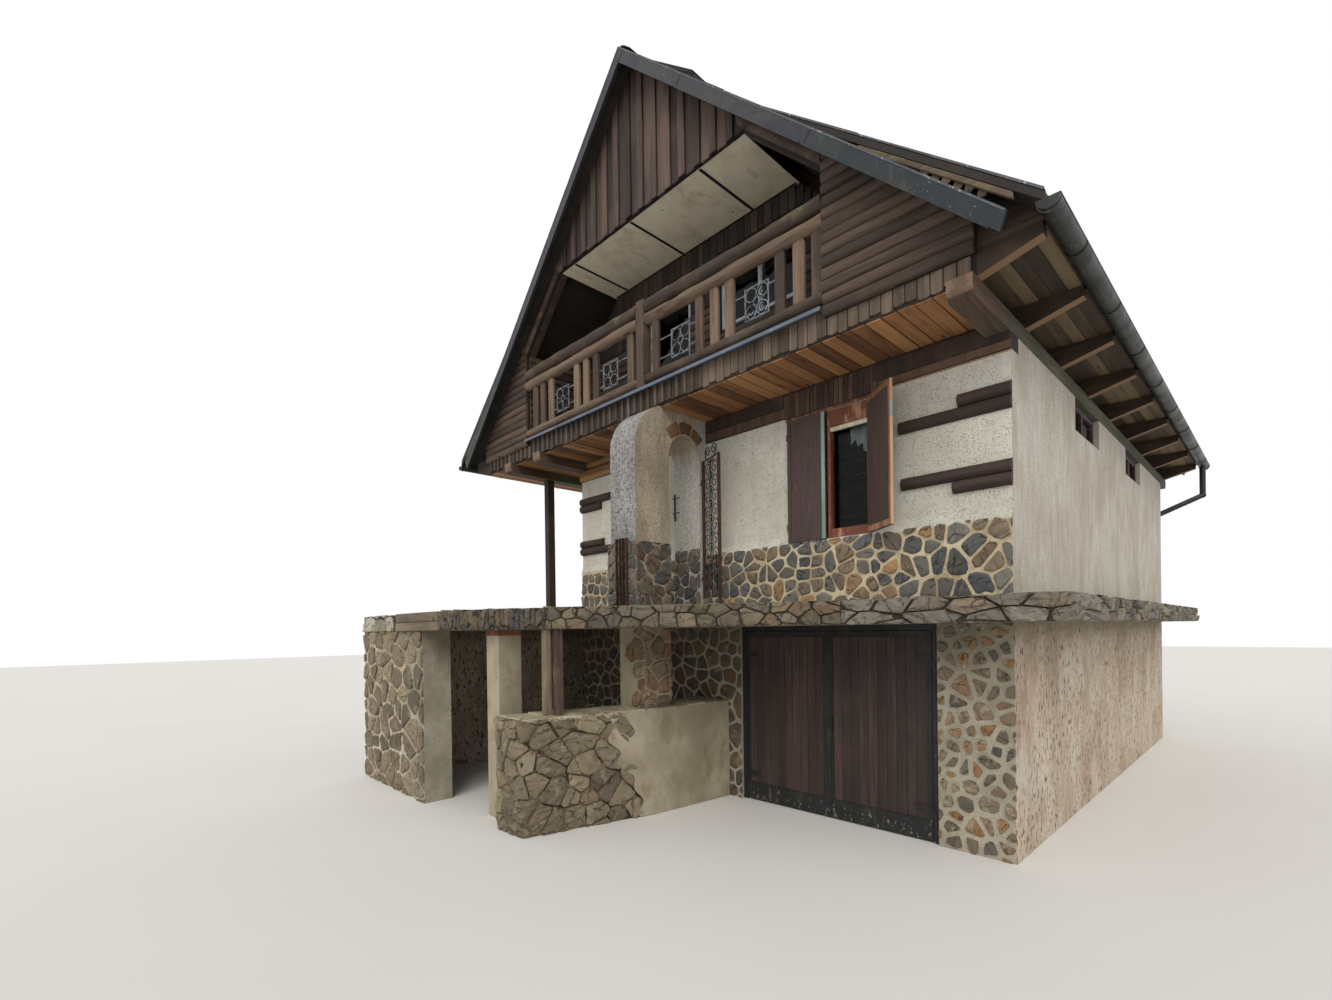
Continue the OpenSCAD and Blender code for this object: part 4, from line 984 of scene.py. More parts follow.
overhang, eaves = heap(), heap()
for x0, x1, y0, y1 in ((left + 0.2, -0.89, siding_back, front - 0.02),
                       (-0.42, right - 0.2, siding_back, front - 0.02),
                       (left - 0.65, left, siding_back, siding_end),
                       (left - 1.55, left - 0.85, siding_back, siding_end),
                       (left + 0.2, right - 0.2, back, siding_end)):
    boards_under(overhang, x0 + 0.002, x1 - 0.002, y0, y1, joist_low - 0.0205, 0.15, 0.009, 0.011, carpenter)
for i in range(8):
    y = siding_back + i * joist_step + joist_wide
    for x0, x1 in ((right + 0.002, middle + tail - 0.004),
                   (middle - tail + 0.004, middle - edge_run - 0.002)):
        boards_under(eaves, x0, x1, y + 0.002, y + joist_step - joist_wide - 0.002, deck - 0.0305, 0.118,
                     0.006, 0.006, carpenter)
piece("overhang_boards", overhang, orange, bevel=0.002)
piece("eave_boards", eaves, eave_wood, bevel=0.0015)


# Edge of the upper floor: upright boards that end in rounded feet under the floor, set edge to edge at the
# right, and at the left set wide and narrow in turn, the narrow ones in front and bleached.
loggia = (-3.395, 1.845)
upright = timber("weathered upright boards", "z", (44, 36, 30), (82, 69, 58), (126, 110, 94), bleached=0.3,
                 roughness=0.85, spread=0.7)
edge_foot, edge_head = 4.836, 4.998


def paling(to, x, wide, y, thick, low, high, tone, foot=0.0, head=0.0):
    """An upright board whose foot and head may be rounded, or follow a line above."""
    outline = []
    for k in range(7) if foot else (0, 6):
        a = math.pi * k / 6
        outline.append((x - wide / 2 * math.cos(a), low + foot * (1 - math.sin(a))))
    for k in range(7) if head else (0, 6):
        a = math.pi * k / 6
        px = x + wide / 2 * math.cos(a)
        outline.append((px, (high(px) if callable(high) else high) - head * (1 - math.sin(a))))
    add(to, [(px, py, pz) for py in (y, y + thick) for px, pz in outline], prism_faces(len(outline)), tone)


def over_plate(x):
    return any(a - 0.06 < x < a + 0.26 for a in (right - 0.2, left, left - 0.85))


edging = heap()
for y, way in ((siding_back - 0.022, -1), (siding_end, 1)):
    x, last = middle - edge_run + 0.05, middle + edge_run
    while x < last - 0.03:
        narrow = way < 0 and x < 0.3
        wide = 0.125 if narrow else (last - 0.31) / round((last - 0.31) / 0.105)
        foot = edge_foot if over_plate(x) else joist_low - 0.014 + carpenter.uniform(-0.006, 0.03)
        head = deck - 0.003 if way < 0 and loggia[0] < x < loggia[1] else edge_head
        paling(edging, x, min(wide - 0.008, 2 * (last - x)), y, 0.022, foot, head,
               carpenter.uniform(-0.3, 0.1) if narrow else carpenter.uniform(0.3, 0.8), 0.012)
        if narrow:
            paling(edging, x + 0.0625, 0.046, y - 0.018, 0.018, foot - 0.004, head,
                   carpenter.uniform(0.2, 0.6), 0.01)
        elif way > 0:
            paling(edging, x + 0.0525, 0.04, y + 0.022, 0.016, foot, head, carpenter.uniform(0.4, 0.9), 0.012)
        x += wide
piece("floor_edge_boards", edging, upright, bevel=0.002)
backing = heap()
for y0 in (siding_back - 0.0005, siding_end - 0.0195):
    board(backing, (middle - edge_run, y0, 4.845), (middle + edge_run, y0 + 0.02, 4.99), 0.1)
# Near-black timber behind the edge boards and the gable logs, seen in the gaps between them: painted shade.
painted_shade_timber = timber("timber darkened as painted shade", "x", (22, 17, 14), (34, 26, 21), (48, 38, 31))
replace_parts(piece("floor_edge_backing", backing, painted_shade_timber), "fascia_boards")


# Gables: boards faced with half logs, which are turned on a lathe but dry out uneven and fade, cut to the
# slope of the roof beside the loggia, and over the whole gable at the back.
ridge, slope, roof_deep = 9.2, 0.97584, 0.063
siding = timber("brown log siding", "x", (36, 28, 23), (66, 52, 43), (106, 86, 72), bleached=0.3,
                roughness=0.8, spread=0.3)


def roof_limit(z, deep=0.0):
    """How far from the ridge a point at this height still lies under the roof's lower face."""
    return (ridge - roof_deep - deep - z) / slope


def half_log(to, place, ends, low, high, out, chance):
    """One course of log siding: its round face swells and wanders, and its ends follow a line."""
    tone, seed, steps = chance.random(), chance.uniform(0, 90), 7
    x0, x1 = ends((low + high) / 2)
    count = max(2, round((x1 - x0) / 0.15))
    verts = []
    for n in range(steps + 1):
        a = math.pi * (n / steps - 0.5)
        z = (low + high) / 2 + (high - low) * 0.492 * math.sin(a)
        x0, x1 = ends(z)
        x1 = max(x1, x0 + 0.01)
        for i in range(count + 1):
            x = x0 + (x1 - x0) * i / count
            wave = noise.noise(Vector((x * 1.1, seed, 0)))
            lump = noise.noise(Vector((x * 3.7, 1.3 * a, seed)))
            verts.append(place(x, z + 0.007 * wave, out * math.cos(a) * (1 + 0.2 * wave + 0.16 * lump)))
    row_starts = [n * (count + 1) for n in range(steps + 1)]
    add(to, verts, sheet_faces(steps, count) + [row_starts, [n + count for n in row_starts]], tone)


log_high, log_out, siding_foot = 0.112, 0.038, 5.0
gable_logs, back_logs, sheets = heap(), heap(), heap()
at_front, at_back = facing(0, gable_front, 0, "front"), facing(0, gable_back, 0, "back")
for n in range(37):
    z = siding_foot + n * log_high
    if middle + min(edge_run, roof_limit(z + 0.02)) > loggia[1] + 0.04:
        half_log(gable_logs, at_front, lambda v: (loggia[1], middle + min(edge_run, roof_limit(v)) - 0.004),
                 z, z + log_high, log_out, carpenter)
        half_log(gable_logs, at_front, lambda v: (middle - min(edge_run, roof_limit(v)) + 0.004, loggia[0]),
                 z, z + log_high, log_out, carpenter)
    if roof_limit(z + 0.02) > 0.06:
        half_log(back_logs, at_back, lambda v: (-middle - min(edge_run, roof_limit(v)) + 0.004,
                                                -middle + min(edge_run, roof_limit(v)) - 0.004), z,
                 z + log_high, log_out, carpenter)


def under_roof(to, x0, x1, y0, y1, low):
    """A flat panel between two upright planes, with its top cut to the roof."""
    cuts = sorted({x0, x1} | {x for x in (middle, middle - edge_run, middle + edge_run) if x0 < x < x1})
    tops = [(x, ridge - roof_deep - 0.003 - slope * abs(x - middle)) for x in cuts]
    outline = [(x0, low), (x1, low)] + [(x, max(z, low)) for x, z in reversed(tops)]
    add(to, [(x, y, z) for y in (y0, y1) for x, z in outline], prism_faces(len(outline)), 0.2)


under_roof(sheets, loggia[1], middle + edge_run, gable_front, siding_back, siding_foot)
under_roof(sheets, middle - edge_run, loggia[0], gable_front, siding_back, siding_foot)
under_roof(sheets, middle - edge_run, middle + edge_run, siding_end, gable_back, siding_foot)
# The sheets behind the gable logs are near black: painted shade in the gaps.
piece("gable_backing", sheets, painted_shade_timber)
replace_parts(piece("front_gable_logs", gable_logs, siding, smooth=50), "gable_panels")
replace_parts(piece("back_gable_logs", back_logs, siding, smooth=50), "back_gable")


# Top of the front gable: upright boards, one in two set in front over the joints, with ragged feet just under
# the ceiling's edge, and a stout board that follows the slope from there down to the log siding.
ceiling_edge = 7.3
top_wood = timber("gable top boards", "z", (34, 26, 23), (64, 50, 44), (104, 84, 74), bleached=0.25,
                  spread=0.7)
# The gable's top behind the upright boards is near black: painted shade.
coat(painted_shade_timber, "gable_top")
peak, verge_log = heap(), heap()
count, cover = 34, 0.118
for i in range(-count // 2, count // 2 + 1):
    x, front_row = middle + i * cover, i % 2
    if slope * (abs(x - middle) + 0.055) < ridge - roof_deep - ceiling_edge - 0.024:
        paling(peak, x, 0.1 if front_row else 0.126, gable_front - (0.042 if front_row else 0.02), 0.022,
               ceiling_edge - carpenter.uniform(0.0, 0.02),
               lambda px: ridge - roof_deep - 0.004 - slope * abs(px - middle), carpenter.random())
piece("gable_top_boards", peak, top_wood, bevel=0.002)
log_start, log_end, log_steps, log_sides = 1.63, loggia[1] - middle - 0.006, 10, 6
for way in (-1, 1):
    verts = []
    for i in range(log_steps + 1):
        d = log_start + (log_end - log_start) * i / log_steps
        for n in range(log_sides + 1):
            a = math.pi * n / log_sides
            swell = 1 + 0.05 * noise.noise(Vector((d * 3, n * 0.5, way)))
            verts.append((middle + way * d, gable_front - 0.004 - 0.034 * math.sin(a) * swell,
                          ridge - roof_deep - 0.012 - slope * d - 0.152 * (1 - math.cos(a)) / 2))
    log_ends = [range(log_sides + 1), range(log_steps * (log_sides + 1), len(verts))]
    add(verge_log, verts, sheet_faces(log_steps, log_sides) + log_ends, 0.62)
piece("gable_slope_logs", verge_log, siding, smooth=50)


# Loggia: walls set back under the roof, of half logs to the height of a person and upright boards above,
# darkened as painted shade deep in the loggia, with a window and a glazed door, and a ceiling of beige
# panels whose joints carry thin black strips.
# The loggia's walls behind its logs and boards are near black: painted shade.
coat(painted_shade_timber, "loggia_walls")
loggia_back, lintel, wainscot = front + 0.2, deck + 1.95, deck + 12 * log_high
door, window = (-1.725, -0.875), (-0.325, 0.925)
inner, dark_boards = heap(), heap()
# These boards are darker than the other timber: painted shade deep in the loggia.
painted_shade_boards = timber("loggia upright boards darkened as painted shade", "z", (24, 18, 15), (44, 34, 28), (70, 56, 47), spread=0.8)
for n in range(20):
    z = deck + n * log_high
    limit = min(roof_limit(z + log_high, 0.2), loggia[1] - middle)
    spans = [(middle - limit, middle + limit)]
    for opening, low in ((door, deck), (window, lintel - 1.0)):
        if z + log_high > low + 0.02 and z < lintel - 0.02:
            spans = [s for a, b in spans for s in ((a, min(b, opening[0])), (max(a, opening[1]), b))
                     if s[1] - s[0] > 0.03]
    if z < wainscot - 0.01:
        for a, b in spans:
            half_log(inner, facing(0, loggia_back, 0, "front"), lambda v: (a, b), z, z + log_high, 0.03,
                     carpenter)
    for x, way in ((loggia[0], "right"), (loggia[1], "left")):
        if abs(x - middle) < roof_limit(z + log_high, 0.2) + 0.06:
            reach = sorted((1 if way == "right" else -1) * y
                           for y in (siding_back + 0.002, loggia_back - 0.03))
            half_log(inner, facing(x, 0, 0, way), lambda v: reach, z, z + log_high, 0.03, carpenter)
piece("loggia_logs", inner, siding, smooth=50)
x = middle - 2.3
while x < middle + 2.3:
    wide, low = carpenter.uniform(0.09, 0.13), wainscot + 0.004
    for opening in (door, window):
        if x + wide > opening[0] and x < opening[1]:
            low = lintel + 0.004
    high = min(ceiling_edge - 0.004,
               ridge - roof_deep - 0.2 - slope * (max(abs(x - middle), abs(x + wide - middle)) + 0.01))
    if high > low + 0.05:
        board(dark_boards, (x + 0.004, loggia_back - 0.022, low), (x + wide - 0.004, loggia_back - 0.002,
                                                                   high), carpenter.random(), 0.001,
              carpenter)
    x += wide
piece("loggia_upright_boards", dark_boards, painted_shade_boards, bevel=0.003)


@finish("ceiling panels", 0.7)
def ceiling_panels(at):
    stains = cloud(at, 2.6, 6.0, 0.66)
    colour = mix(between(stains, 0.42, 0.68), (232, 222, 198), (212, 200, 174))
    rings = cloud(scaled(at, (3.0, 1.2, 1.0)), 2.0, 6.0, 0.7)
    colour = mix(between(rings, 0.56, 0.64) * 0.25, colour, (132, 108, 80))
    nails = crumbs(scaled(at, (1, 1, 0)), 3.4)
    colour = mix(between(nails, 0.05, 0.035), colour, (48, 38, 30))
    return {"base_color": colour, "normal": relief(stains, 0.004)}


coat(ceiling_panels, "loggia_ceiling")
strips = heap()
ceiling_reach = roof_limit(ceiling_edge + 0.02, 0.2)
for x in (0.255, -0.945, -2.145):
    board(strips, (x - 0.018, siding_back + 0.01, ceiling_edge - 0.006),
          (x + 0.018, loggia_back - 0.04, ceiling_edge), 0.5)
for y in (siding_back - 0.036, loggia_back - 0.045):
    board(strips, (middle - ceiling_reach, y, ceiling_edge - 0.006),
          (middle + ceiling_reach, y + 0.03, ceiling_edge), 0.5)
piece("ceiling_strips", strips, door_steel, bevel=0.001)


# Balcony: three levels of peeled logs between the gable's panels and a middle post, with boards in groups,
# and a sheet of blue metal that sheds the rain over the floor's edge. The logs are green on their upper side.
balcony_y, balcony_middle = gable_front + 0.02, middle + 0.075
rail_wood = timber("peeled rail logs", "x", (42, 33, 27), (78, 62, 51), (128, 106, 88), 0.2, (96, 100, 64),
                   bleached=0.35, spread=0.5)
picket_wood = timber("balcony boards", "z", (46, 36, 29), (86, 68, 55), (132, 110, 91), 0.1, (98, 98, 64),
                     bleached=0.35, spread=0.6)


def tube(to, points, radius, sides, tone=0.5, rough=0.0, seed=0.0):
    """A round bar or log along a line of points; roughness makes its radius wander."""
    points = [Vector(p) for p in points]
    ahead = (points[1] - points[0]).normalized()
    turn = ahead.orthogonal().normalized()
    verts, count = [], len(points)
    for i, p in enumerate(points):
        new = (points[min(i + 1, count - 1)] - points[max(i - 1, 0)]).normalized()
        turn = (turn - new * turn.dot(new)).normalized()
        other = new.cross(turn)
        for k in range(sides):
            a = 2 * math.pi * k / sides
            r = radius(i / (count - 1)) if callable(radius) else radius
            if rough:
                r *= 1 + rough * noise.noise(Vector((i * 0.45 + seed, math.cos(a) * 0.9,
                                                     math.sin(a) * 0.9 + seed)))
            verts.append(p + (turn * math.cos(a) + other * math.sin(a)) * r)
    faces = [(i * sides + k, i * sides + (k + 1) % sides, (i + 1) * sides + (k + 1) % sides,
              (i + 1) * sides + k) for i in range(count - 1) for k in range(sides)]
    faces += [range(sides), range((count - 1) * sides, count * sides)]
    add(to, verts, faces, tone)


rails = heap()
for z, r in ((6.09, 0.077), (5.924, 0.071), (5.196, 0.055)):
    for x0, x1 in ((loggia[0], balcony_middle - 0.075), (balcony_middle + 0.075, loggia[1])):
        steps = round((x1 - x0) / 0.09)
        bow, seed = carpenter.uniform(-0.012, 0.012), carpenter.uniform(0, 50)
        line = [(x0 + (x1 - x0) * i / steps, balcony_y + 0.006 * math.sin(i * 0.21 + seed),
                 z + bow * math.sin(math.pi * i / steps)) for i in range(steps + 1)]
        tube(rails, line, r, 14, carpenter.random(), 0.16, seed)
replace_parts(piece("balcony_logs", rails, rail_wood, smooth=45), "balcony_rails")
pickets = heap()
for way in (-1, 1):
    for d in (0.235, 0.955, 1.18, 1.4, 2.05, 2.27, 2.475):
        wide = carpenter.uniform(0.112, 0.13)
        paling(pickets, balcony_middle + way * d, wide, balcony_y - 0.02, 0.04, 5.236, 5.872,
               carpenter.random(), 0.0, 0.05)
board(pickets, (balcony_middle - 0.075, balcony_y - 0.06, deck + 0.006),
      (balcony_middle + 0.075, balcony_y + 0.06, 6.168), 0.4, 0.006, carpenter)
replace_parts(piece("balcony_boards", pickets, picket_wood, bevel=0.006, segments=2),
            "balusters")
blue_metal = sheet_metal("dull blue sheet", (104, 116, 130), (150, 150, 146), (96, 92, 84), roughness=0.5,
                         worn_at=0.6, dusty=0.5, metal=0.3)
coat(blue_metal, "balcony_flashing")


# Ironwork: forged scrolls in square frames between the balcony boards, a bracket with two hooks in the porch,
# and the pintles that the gate and shutters hang on.
iron = sheet_metal("forged iron", (28, 27, 27), (60, 50, 42), (46, 42, 39), roughness=0.6, worn_at=0.68,
                   dusty=0.3, metal=0.4)


@finish("square iron bars", 0.5, metallic=0.3)
def frame_iron(at):
    """Black in the porch; on the balcony the paint has gone dull and pale in the weather."""
    y = axes(at)[1]
    aged = between(cloud(at, 12.0, 5.0, 0.7), 0.36, 0.64)
    pale = mix(aged, (126, 132, 138), (84, 84, 84))
    return {"base_color": mix(between(y, balcony_y + 0.2, balcony_y + 0.1), (28, 27, 27), pale)}


coat(frame_iron, "ironwork")


def scroll(to, middle_at, flat, radius, start, turns, way, bar):
    """A bar rolled up into a volute in an upright plane: flat turns the drawing's x and z into a place."""
    count = round(turns * 14)
    line = []
    for i in range(count + 1):
        a = start + way * 2 * math.pi * turns * i / count
        r = radius * (1 - 0.82 * i / count)
        line.append(flat(middle_at[0] + r * math.cos(a), middle_at[1] + r * math.sin(a)))
    tube(to, line, bar, 6)


volutes = heap()
for way in (-1, 1):
    for mid in (0.65, 1.755):
        x0, z0 = balcony_middle + way * mid, 5.311
        for side_way in (-1, 1):
            for level, up in ((0.085, 1), (0.255, -1)):
                scroll(volutes, (side_way * 0.074, level), lambda u, v: (x0 + u, balcony_y - 0.0075, z0 + v),
                       0.062, math.pi / 2 * up, 1.6, side_way * up, 0.0055)
piece("balcony_scrolls", volutes, iron, smooth=60)


# Half logs in the front wall: strips of timber with one round face, set into the render and stained dark
# brown, with their sawn ends left to show.
coat(timber("wall half logs", "x", (40, 30, 27), (64, 49, 43), (94, 74, 65), bleached=0.2, spread=0.3),
     "log_strips")


# Windows: painted softwood frames, reddish brown and cracked in front, bluish white in the loggia, nearly
# black at the sides, with clear panes. The front window keeps a cream roller box and a torn lace curtain.
@finish("painted window wood", 0.62)
def window_paint(at):
    x, y, z = axes(at)
    made = use(wood, vector=grain_along(at, "z"), tone=0.4)
    worn = between(cloud(scaled(at, (9, 9, 2.2)), 1.0, 7.0, 0.72) + made["Fibre"] * 0.2, 0.6, 0.72)
    red = mix(worn, mix(made["Band"], (84, 42, 29), (130, 72, 50)), (172, 128, 98))
    blue = mix(worn, (176, 190, 202), (128, 112, 98))
    dark = mix(worn, (52, 42, 36), (96, 82, 70))
    aside = between(calc("ABSOLUTE", x), 2.9, 2.95)
    colour = mix(between(z, 5.0, 5.05), mix(aside, red, dark), blue)
    return {"base_color": colour, "normal": relief(made["Height"], 0.002)}


@finish("window glass", 0.0, transmission_weight=1.0, ior=1.2)
def window_glass(at):
    dust = between(cloud(scaled(at, (3, 3, 1.2)), 1.0, 5.0, 0.6), 0.4, 0.7)
    return {"base_color": mix(dust, (206, 212, 210), (180, 188, 184))}


coat(window_paint, "window_frames")
coat(window_glass, "window_glass")
pane_left, pane_right, top = 1.38, 1.812, sill + 1.39
frame_left, mullion, frame_right = 0.845, 1.345, 1.838
trim, roller = heap(), heap()
for x0, x1, tone in ((pane_right, frame_right, 0.6), (mullion, pane_left + 0.002, 0.3)):
    board(trim, (x0, front + 0.002, sill + 0.002), (x1, front + 0.058, top - 0.002), tone)
for x0, x1, y0, z0, z1, tone in ((mullion, frame_right, 0.006, top - 0.178, top - 0.004, 0.8),
                                 (mullion, frame_right, 0.012, sill + 0.002, sill + 0.1, 0.5),
                                 (frame_left, frame_right - 0.003, 0.002, sill - 0.012, sill + 0.006, 0.9)):
    board(trim, (x0, front + y0, z0), (x1, front + 0.058, z1), tone, 0.001, carpenter)
board(trim, (0.82, front - 0.019, top + 0.002), (1.86, front - 0.0005, top + 0.03), 0.4, 0.001, carpenter)
piece("window_trim", trim, window_paint, bevel=0.003, segments=2)


@finish("cream roller box", 0.6)
def cream(at):
    """Cream tin with a blue line along its lower edge."""
    stains = between(cloud(scaled(at, (30, 3, 3)), 1.0), 0.4, 0.7)
    body = mix(stains, (226, 220, 196), (196, 184, 152))
    line = between(axes(at)[2], top - 0.234, top - 0.232)
    return {"base_color": mix(line, (60, 96, 116), body)}


tube(roller, [(x, front + 0.034, top - 0.208) for x in (pane_left + 0.002, pane_right - 0.002)], 0.03, 16)
piece("roller_box", roller, cream, smooth=60)


@finish("torn lace", 0.9, transmission_weight=0.0)
def lace(at):
    grid = crumbs(scaled(at, (1, 0.2, 1)), 150.0)
    return {"base_color": mix(between(grid, 0.35, 0.6), (222, 224, 228), (158, 162, 170)),
            "normal": relief(grid, 0.002)}


curtain_x, curtain_top, inside = 1.54, top - 0.065, front + 0.15
verts, columns, rows = [], 30, 18
for i in range(columns + 1):
    t = i / columns
    length = 0.3 + 0.2 * t * t + 0.03 * math.sin(t * 21)
    for j in range(rows + 1):
        s = j / rows
        verts.append((curtain_x + 0.26 * t + 0.006 * math.sin(t * 37) * s,
                      inside + 0.014 * math.sin(t * 26 + s), curtain_top - length * s))
curtain = heap()
add(curtain, verts, [(i * (rows + 1) + j, (i + 1) * (rows + 1) + j, (i + 1) * (rows + 1) + j + 1,
                      i * (rows + 1) + j + 1) for i in range(columns) for j in range(rows)])
hung = piece("torn_curtain", curtain, lace, smooth=80)
top_edge = [Vector(verts[i * (rows + 1)]) for i in range(columns + 1)]
cut_width = sum((b - a).length for a, b in zip(top_edge, top_edge[1:]))
rod = heap()
tube(rod, [(0.9, inside, curtain_top), (1.815, inside, curtain_top)], 0.006, 10)
for x in (0.9, 1.809):
    board(rod, (x, front + 0.128, curtain_top - 0.008), (x + 0.006, inside, curtain_top + 0.008), 0.5)
piece("curtain_rod", rod, door_steel, smooth=60)


# Shutters: a flat dark panel in a frame, both painted dark brown, worn to bare wood on the edges of the open
# one; a strip of light blue paint is left where the leaves used to meet.
@finish("shutter paint", 0.66)
def shutter_paint(at):
    made = use(wood, vector=grain_along(at, "z"), tone=tone_of())
    colour = mix(between(made["Fibre"], 0.3, 0.7), (60, 45, 42), (84, 65, 60))
    worn = between(cloud(scaled(at, (5, 5, 1.6)), 1.6, 7.0, 0.74), 0.6, 0.7)
    colour = mix(worn * 0.5, colour, (118, 92, 80))
    return {"base_color": colour, "normal": relief(made["Height"], 0.0015)}


coat(shutter_paint, "shutter_left", "shutter_right")
bare_edge = timber("worn shutter wood", "z", (92, 56, 40), (142, 96, 68), (198, 160, 126), bleached=0.45,
                   spread=0.9)
light_blue = sheet_metal("light blue paint", (138, 166, 162), (120, 96, 80), (122, 120, 112), roughness=0.6,
                         worn_at=0.58, dusty=0.4, metal=0.0)
strip = heap()
board(strip, (1.291, -4.2525, sill + 0.003), (1.3345, -4.2495, top - 0.003), 0.5)
piece("blue_edge_strip", strip, light_blue, "shutter_leaf_left", bevel=0.001)
turn, shutter_pin = math.radians(142), (1.84, -4.237)


def on_leaf(u, v, z):
    """A place on the open shutter: out from its hinge, through its thickness, and its height."""
    return (shutter_pin[0] - u * math.cos(turn) - v * math.sin(turn),
            shutter_pin[1] - u * math.sin(turn) + v * math.cos(turn), z)


def leaf_board(to, u0, u1, v0, v1, z0, z1, tone):
    corners = [on_leaf((u0, u1)[i & 1], (v0, v1)[i >> 1 & 1], (z0, z1)[i >> 2 & 1]) for i in range(8)]
    add(to, corners, box_sides, tone)


frame_strips, blue_bit = heap(), heap()
leaf_board(frame_strips, 0.014, 0.499, 0.0165, 0.0215, top - 0.058, top - 0.001, 0.35)
leaf_board(frame_strips, 0.014, 0.499, 0.0165, 0.0215, sill + 0.001, sill + 0.062, 0.55)
leaf_board(frame_strips, 0.47, 0.499, 0.0165, 0.0205, sill + 0.062, top - 0.058, 0.3)
leaf_board(frame_strips, 0.4985, 0.5035, -0.012, 0.0165, sill + 0.002, top - 0.36, 1.0)
leaf_board(frame_strips, 0.4985, 0.5035, -0.012, 0.0165, top - 0.22, top - 0.002, 0.8)
leaf_board(blue_bit, 0.4985, 0.503, -0.012, 0.0165, top - 0.36, top - 0.22, 0.5)
piece("open_shutter_trim", frame_strips, bare_edge, "shutter_leaf_right", bevel=0.001)
piece("open_shutter_blue", blue_bit, light_blue, "shutter_leaf_right", bevel=0.001)
hooks = heap()
tube(hooks, [on_leaf(0.04, 0.018, 3.97), on_leaf(0.04, 0.034, 3.97), on_leaf(0.04, 0.034, 3.93)], 0.004, 8)
piece("shutter_hook", hooks, iron, "shutter_leaf_right", smooth=60)


# Entrance door: two sunk panels in a frame of dark oak, hung in a plain architrave behind the porch wall,
# with an iron handle on a long plate.
door_wood = timber("entrance door wood", "z", (58, 38, 27), (92, 62, 44), (124, 90, 66), bleached=0.2,
                   spread=0.3)
coat(door_wood, "entrance_door")
about_door, handle = heap(), heap()
door_foot, door_head = terrace + 0.003, 4.347
for x0, x1, z0, z1 in ((-2.225, -2.165, door_foot, door_head), (-1.385, -1.325, door_foot, door_head),
                       (-2.165, -1.385, 4.29, door_head)):
    board(about_door, (x0 + 0.002, front + 0.03, z0), (x1 - 0.002, front + 0.06, z1), 0.7, 0.001, carpenter)
for z0, z1 in ((2.5, 3.24), (3.46, 4.2)):
    for i in range(7):
        x = -2.093 + i * 0.0909
        board(about_door, (x + 0.001, front + 0.069, z0), (x + 0.0885, front + 0.076, z1), carpenter.random())
piece("door_architrave", about_door, door_wood, bevel=0.003)
board(handle, (-1.46, front + 0.054, 3.25), (-1.42, front + 0.0605, 3.47), 0.5)
tube(handle, [(-1.44, front + 0.056, 3.41), (-1.44, front + 0.012, 3.41), (-1.46, front + 0.004, 3.41),
              (-1.55, front + 0.004, 3.408)], 0.008, 10)
piece("door_handle", handle, iron, bevel=0.002)


# Porch wall: thrown render, coarse, grey and pitted on its outer end, finer and sandy on its sides. Dark
# slabs face its foot, three brown stones lie over the arch, and two steel uprights are bolted to its end.
@finish("porch roughcast", 0.94)
def porch_render(at):
    facing_x = calc("ABSOLUTE", normal_axes()[0])
    y = axes(at)[1] + cloud(at, 12.0, 4.0, 0.6) * 0.03
    outer = between(facing_x, 0.85, 0.6) * between(y, -5.1, -5.16)
    fine = use(thrown_render, vector=at, grain=48.0)
    pebbles = cloud(at, 34.0, 4.0, 0.7)
    pits = calc("MAXIMUM", fine["Pits"], between(pebbles, 0.5, 0.4) * 0.75)
    pits = pits * (outer * 0.4 + 0.5)
    shade = cloud(scaled(at, (1.6, 1.6, 0.7)), 1.3, 5.0, 0.62)
    sandy = mix(between(shade, 0.36, 0.66), (196, 184, 162), (164, 150, 128))
    grey = mix(between(shade, 0.36, 0.66), (184, 183, 181), (148, 147, 146))
    body = mix(outer, sandy, grey)
    near_wall = between(y, -4.42, -4.33)
    body = mix(near_wall, body, (206, 204, 198))
    # The pits and pebble hollows are darkened: painted shade in them.
    colour = mix(pits, body, mix(outer, (112, 92, 72), (74, 72, 70)))
    rain = use(rain_streaks, vector=at, top=4.9, fall=1.9)["Streaks"]
    colour = mix(rain * 0.35, colour, (118, 102, 84))
    rough = fine["Height"] + pebbles * 1.2
    return {"base_color": colour, "normal": relief(rough, 0.016)}


coat(porch_render, "arch_wall")
porch_stone = stonework("porch foot stone", (84, 78, 70), (104, 94, 80), (76, 80, 84), (112, 98, 80),
                        (92, 92, 90), (98, 76, 60), (124, 112, 96), (70, 72, 76), shade=0.6, grown=0.05)
foot = heap()
outer_end, inner_end, foot_high = front - 1.27, front - 0.71, 0.8
for width, place in ((0.51, facing(porch.x - 0.025, outer_end, terrace, "front")),
                     (inner_end - outer_end, facing(porch.y + 0.025, outer_end, terrace, "right")),
                     (inner_end - outer_end, facing(porch.x - 0.025, inner_end, terrace, "left")),
                     (porch.y - porch.x - 0.004, facing(porch.x + 0.002, front - 0.15, terrace, "front"))):
    masonry(foot, place, width, foot_high, size=0.16, joint=0.012, stretch=0.9, drop=0.22, depth=0.016,
            rough=0.7, blunt=0.2)
piece("porch_foot_stones", foot, porch_stone, smooth=42)
voussoirs = heap()
arch_mid, arch_spring = front - 0.42, 4.26
place = facing(porch.y, 0, 0, "right")
for a0, a1 in ((-50, -17), (-15, 19), (21, 50)):
    outline = []
    for r, turns in ((0.295, (a0, (a0 + a1) / 2, a1)), (0.45, (a1, (a0 + a1) / 2, a0))):
        for a in turns:
            wide = r + stones.uniform(-0.008, 0.008)
            outline.append(Vector((arch_mid + wide * math.sin(math.radians(a)),
                                   arch_spring + wide * math.cos(math.radians(a)))))
    lay_stone(voussoirs, outline, 0.008, place, stones, 0.4, 1.0, 0.2)
sandstone = stonework("brown arch stone", (98, 76, 52), (122, 94, 62), (110, 84, 58), shade=0.66, grown=0.1)
piece("arch_stones", voussoirs, sandstone, smooth=45)
uprights = heap()
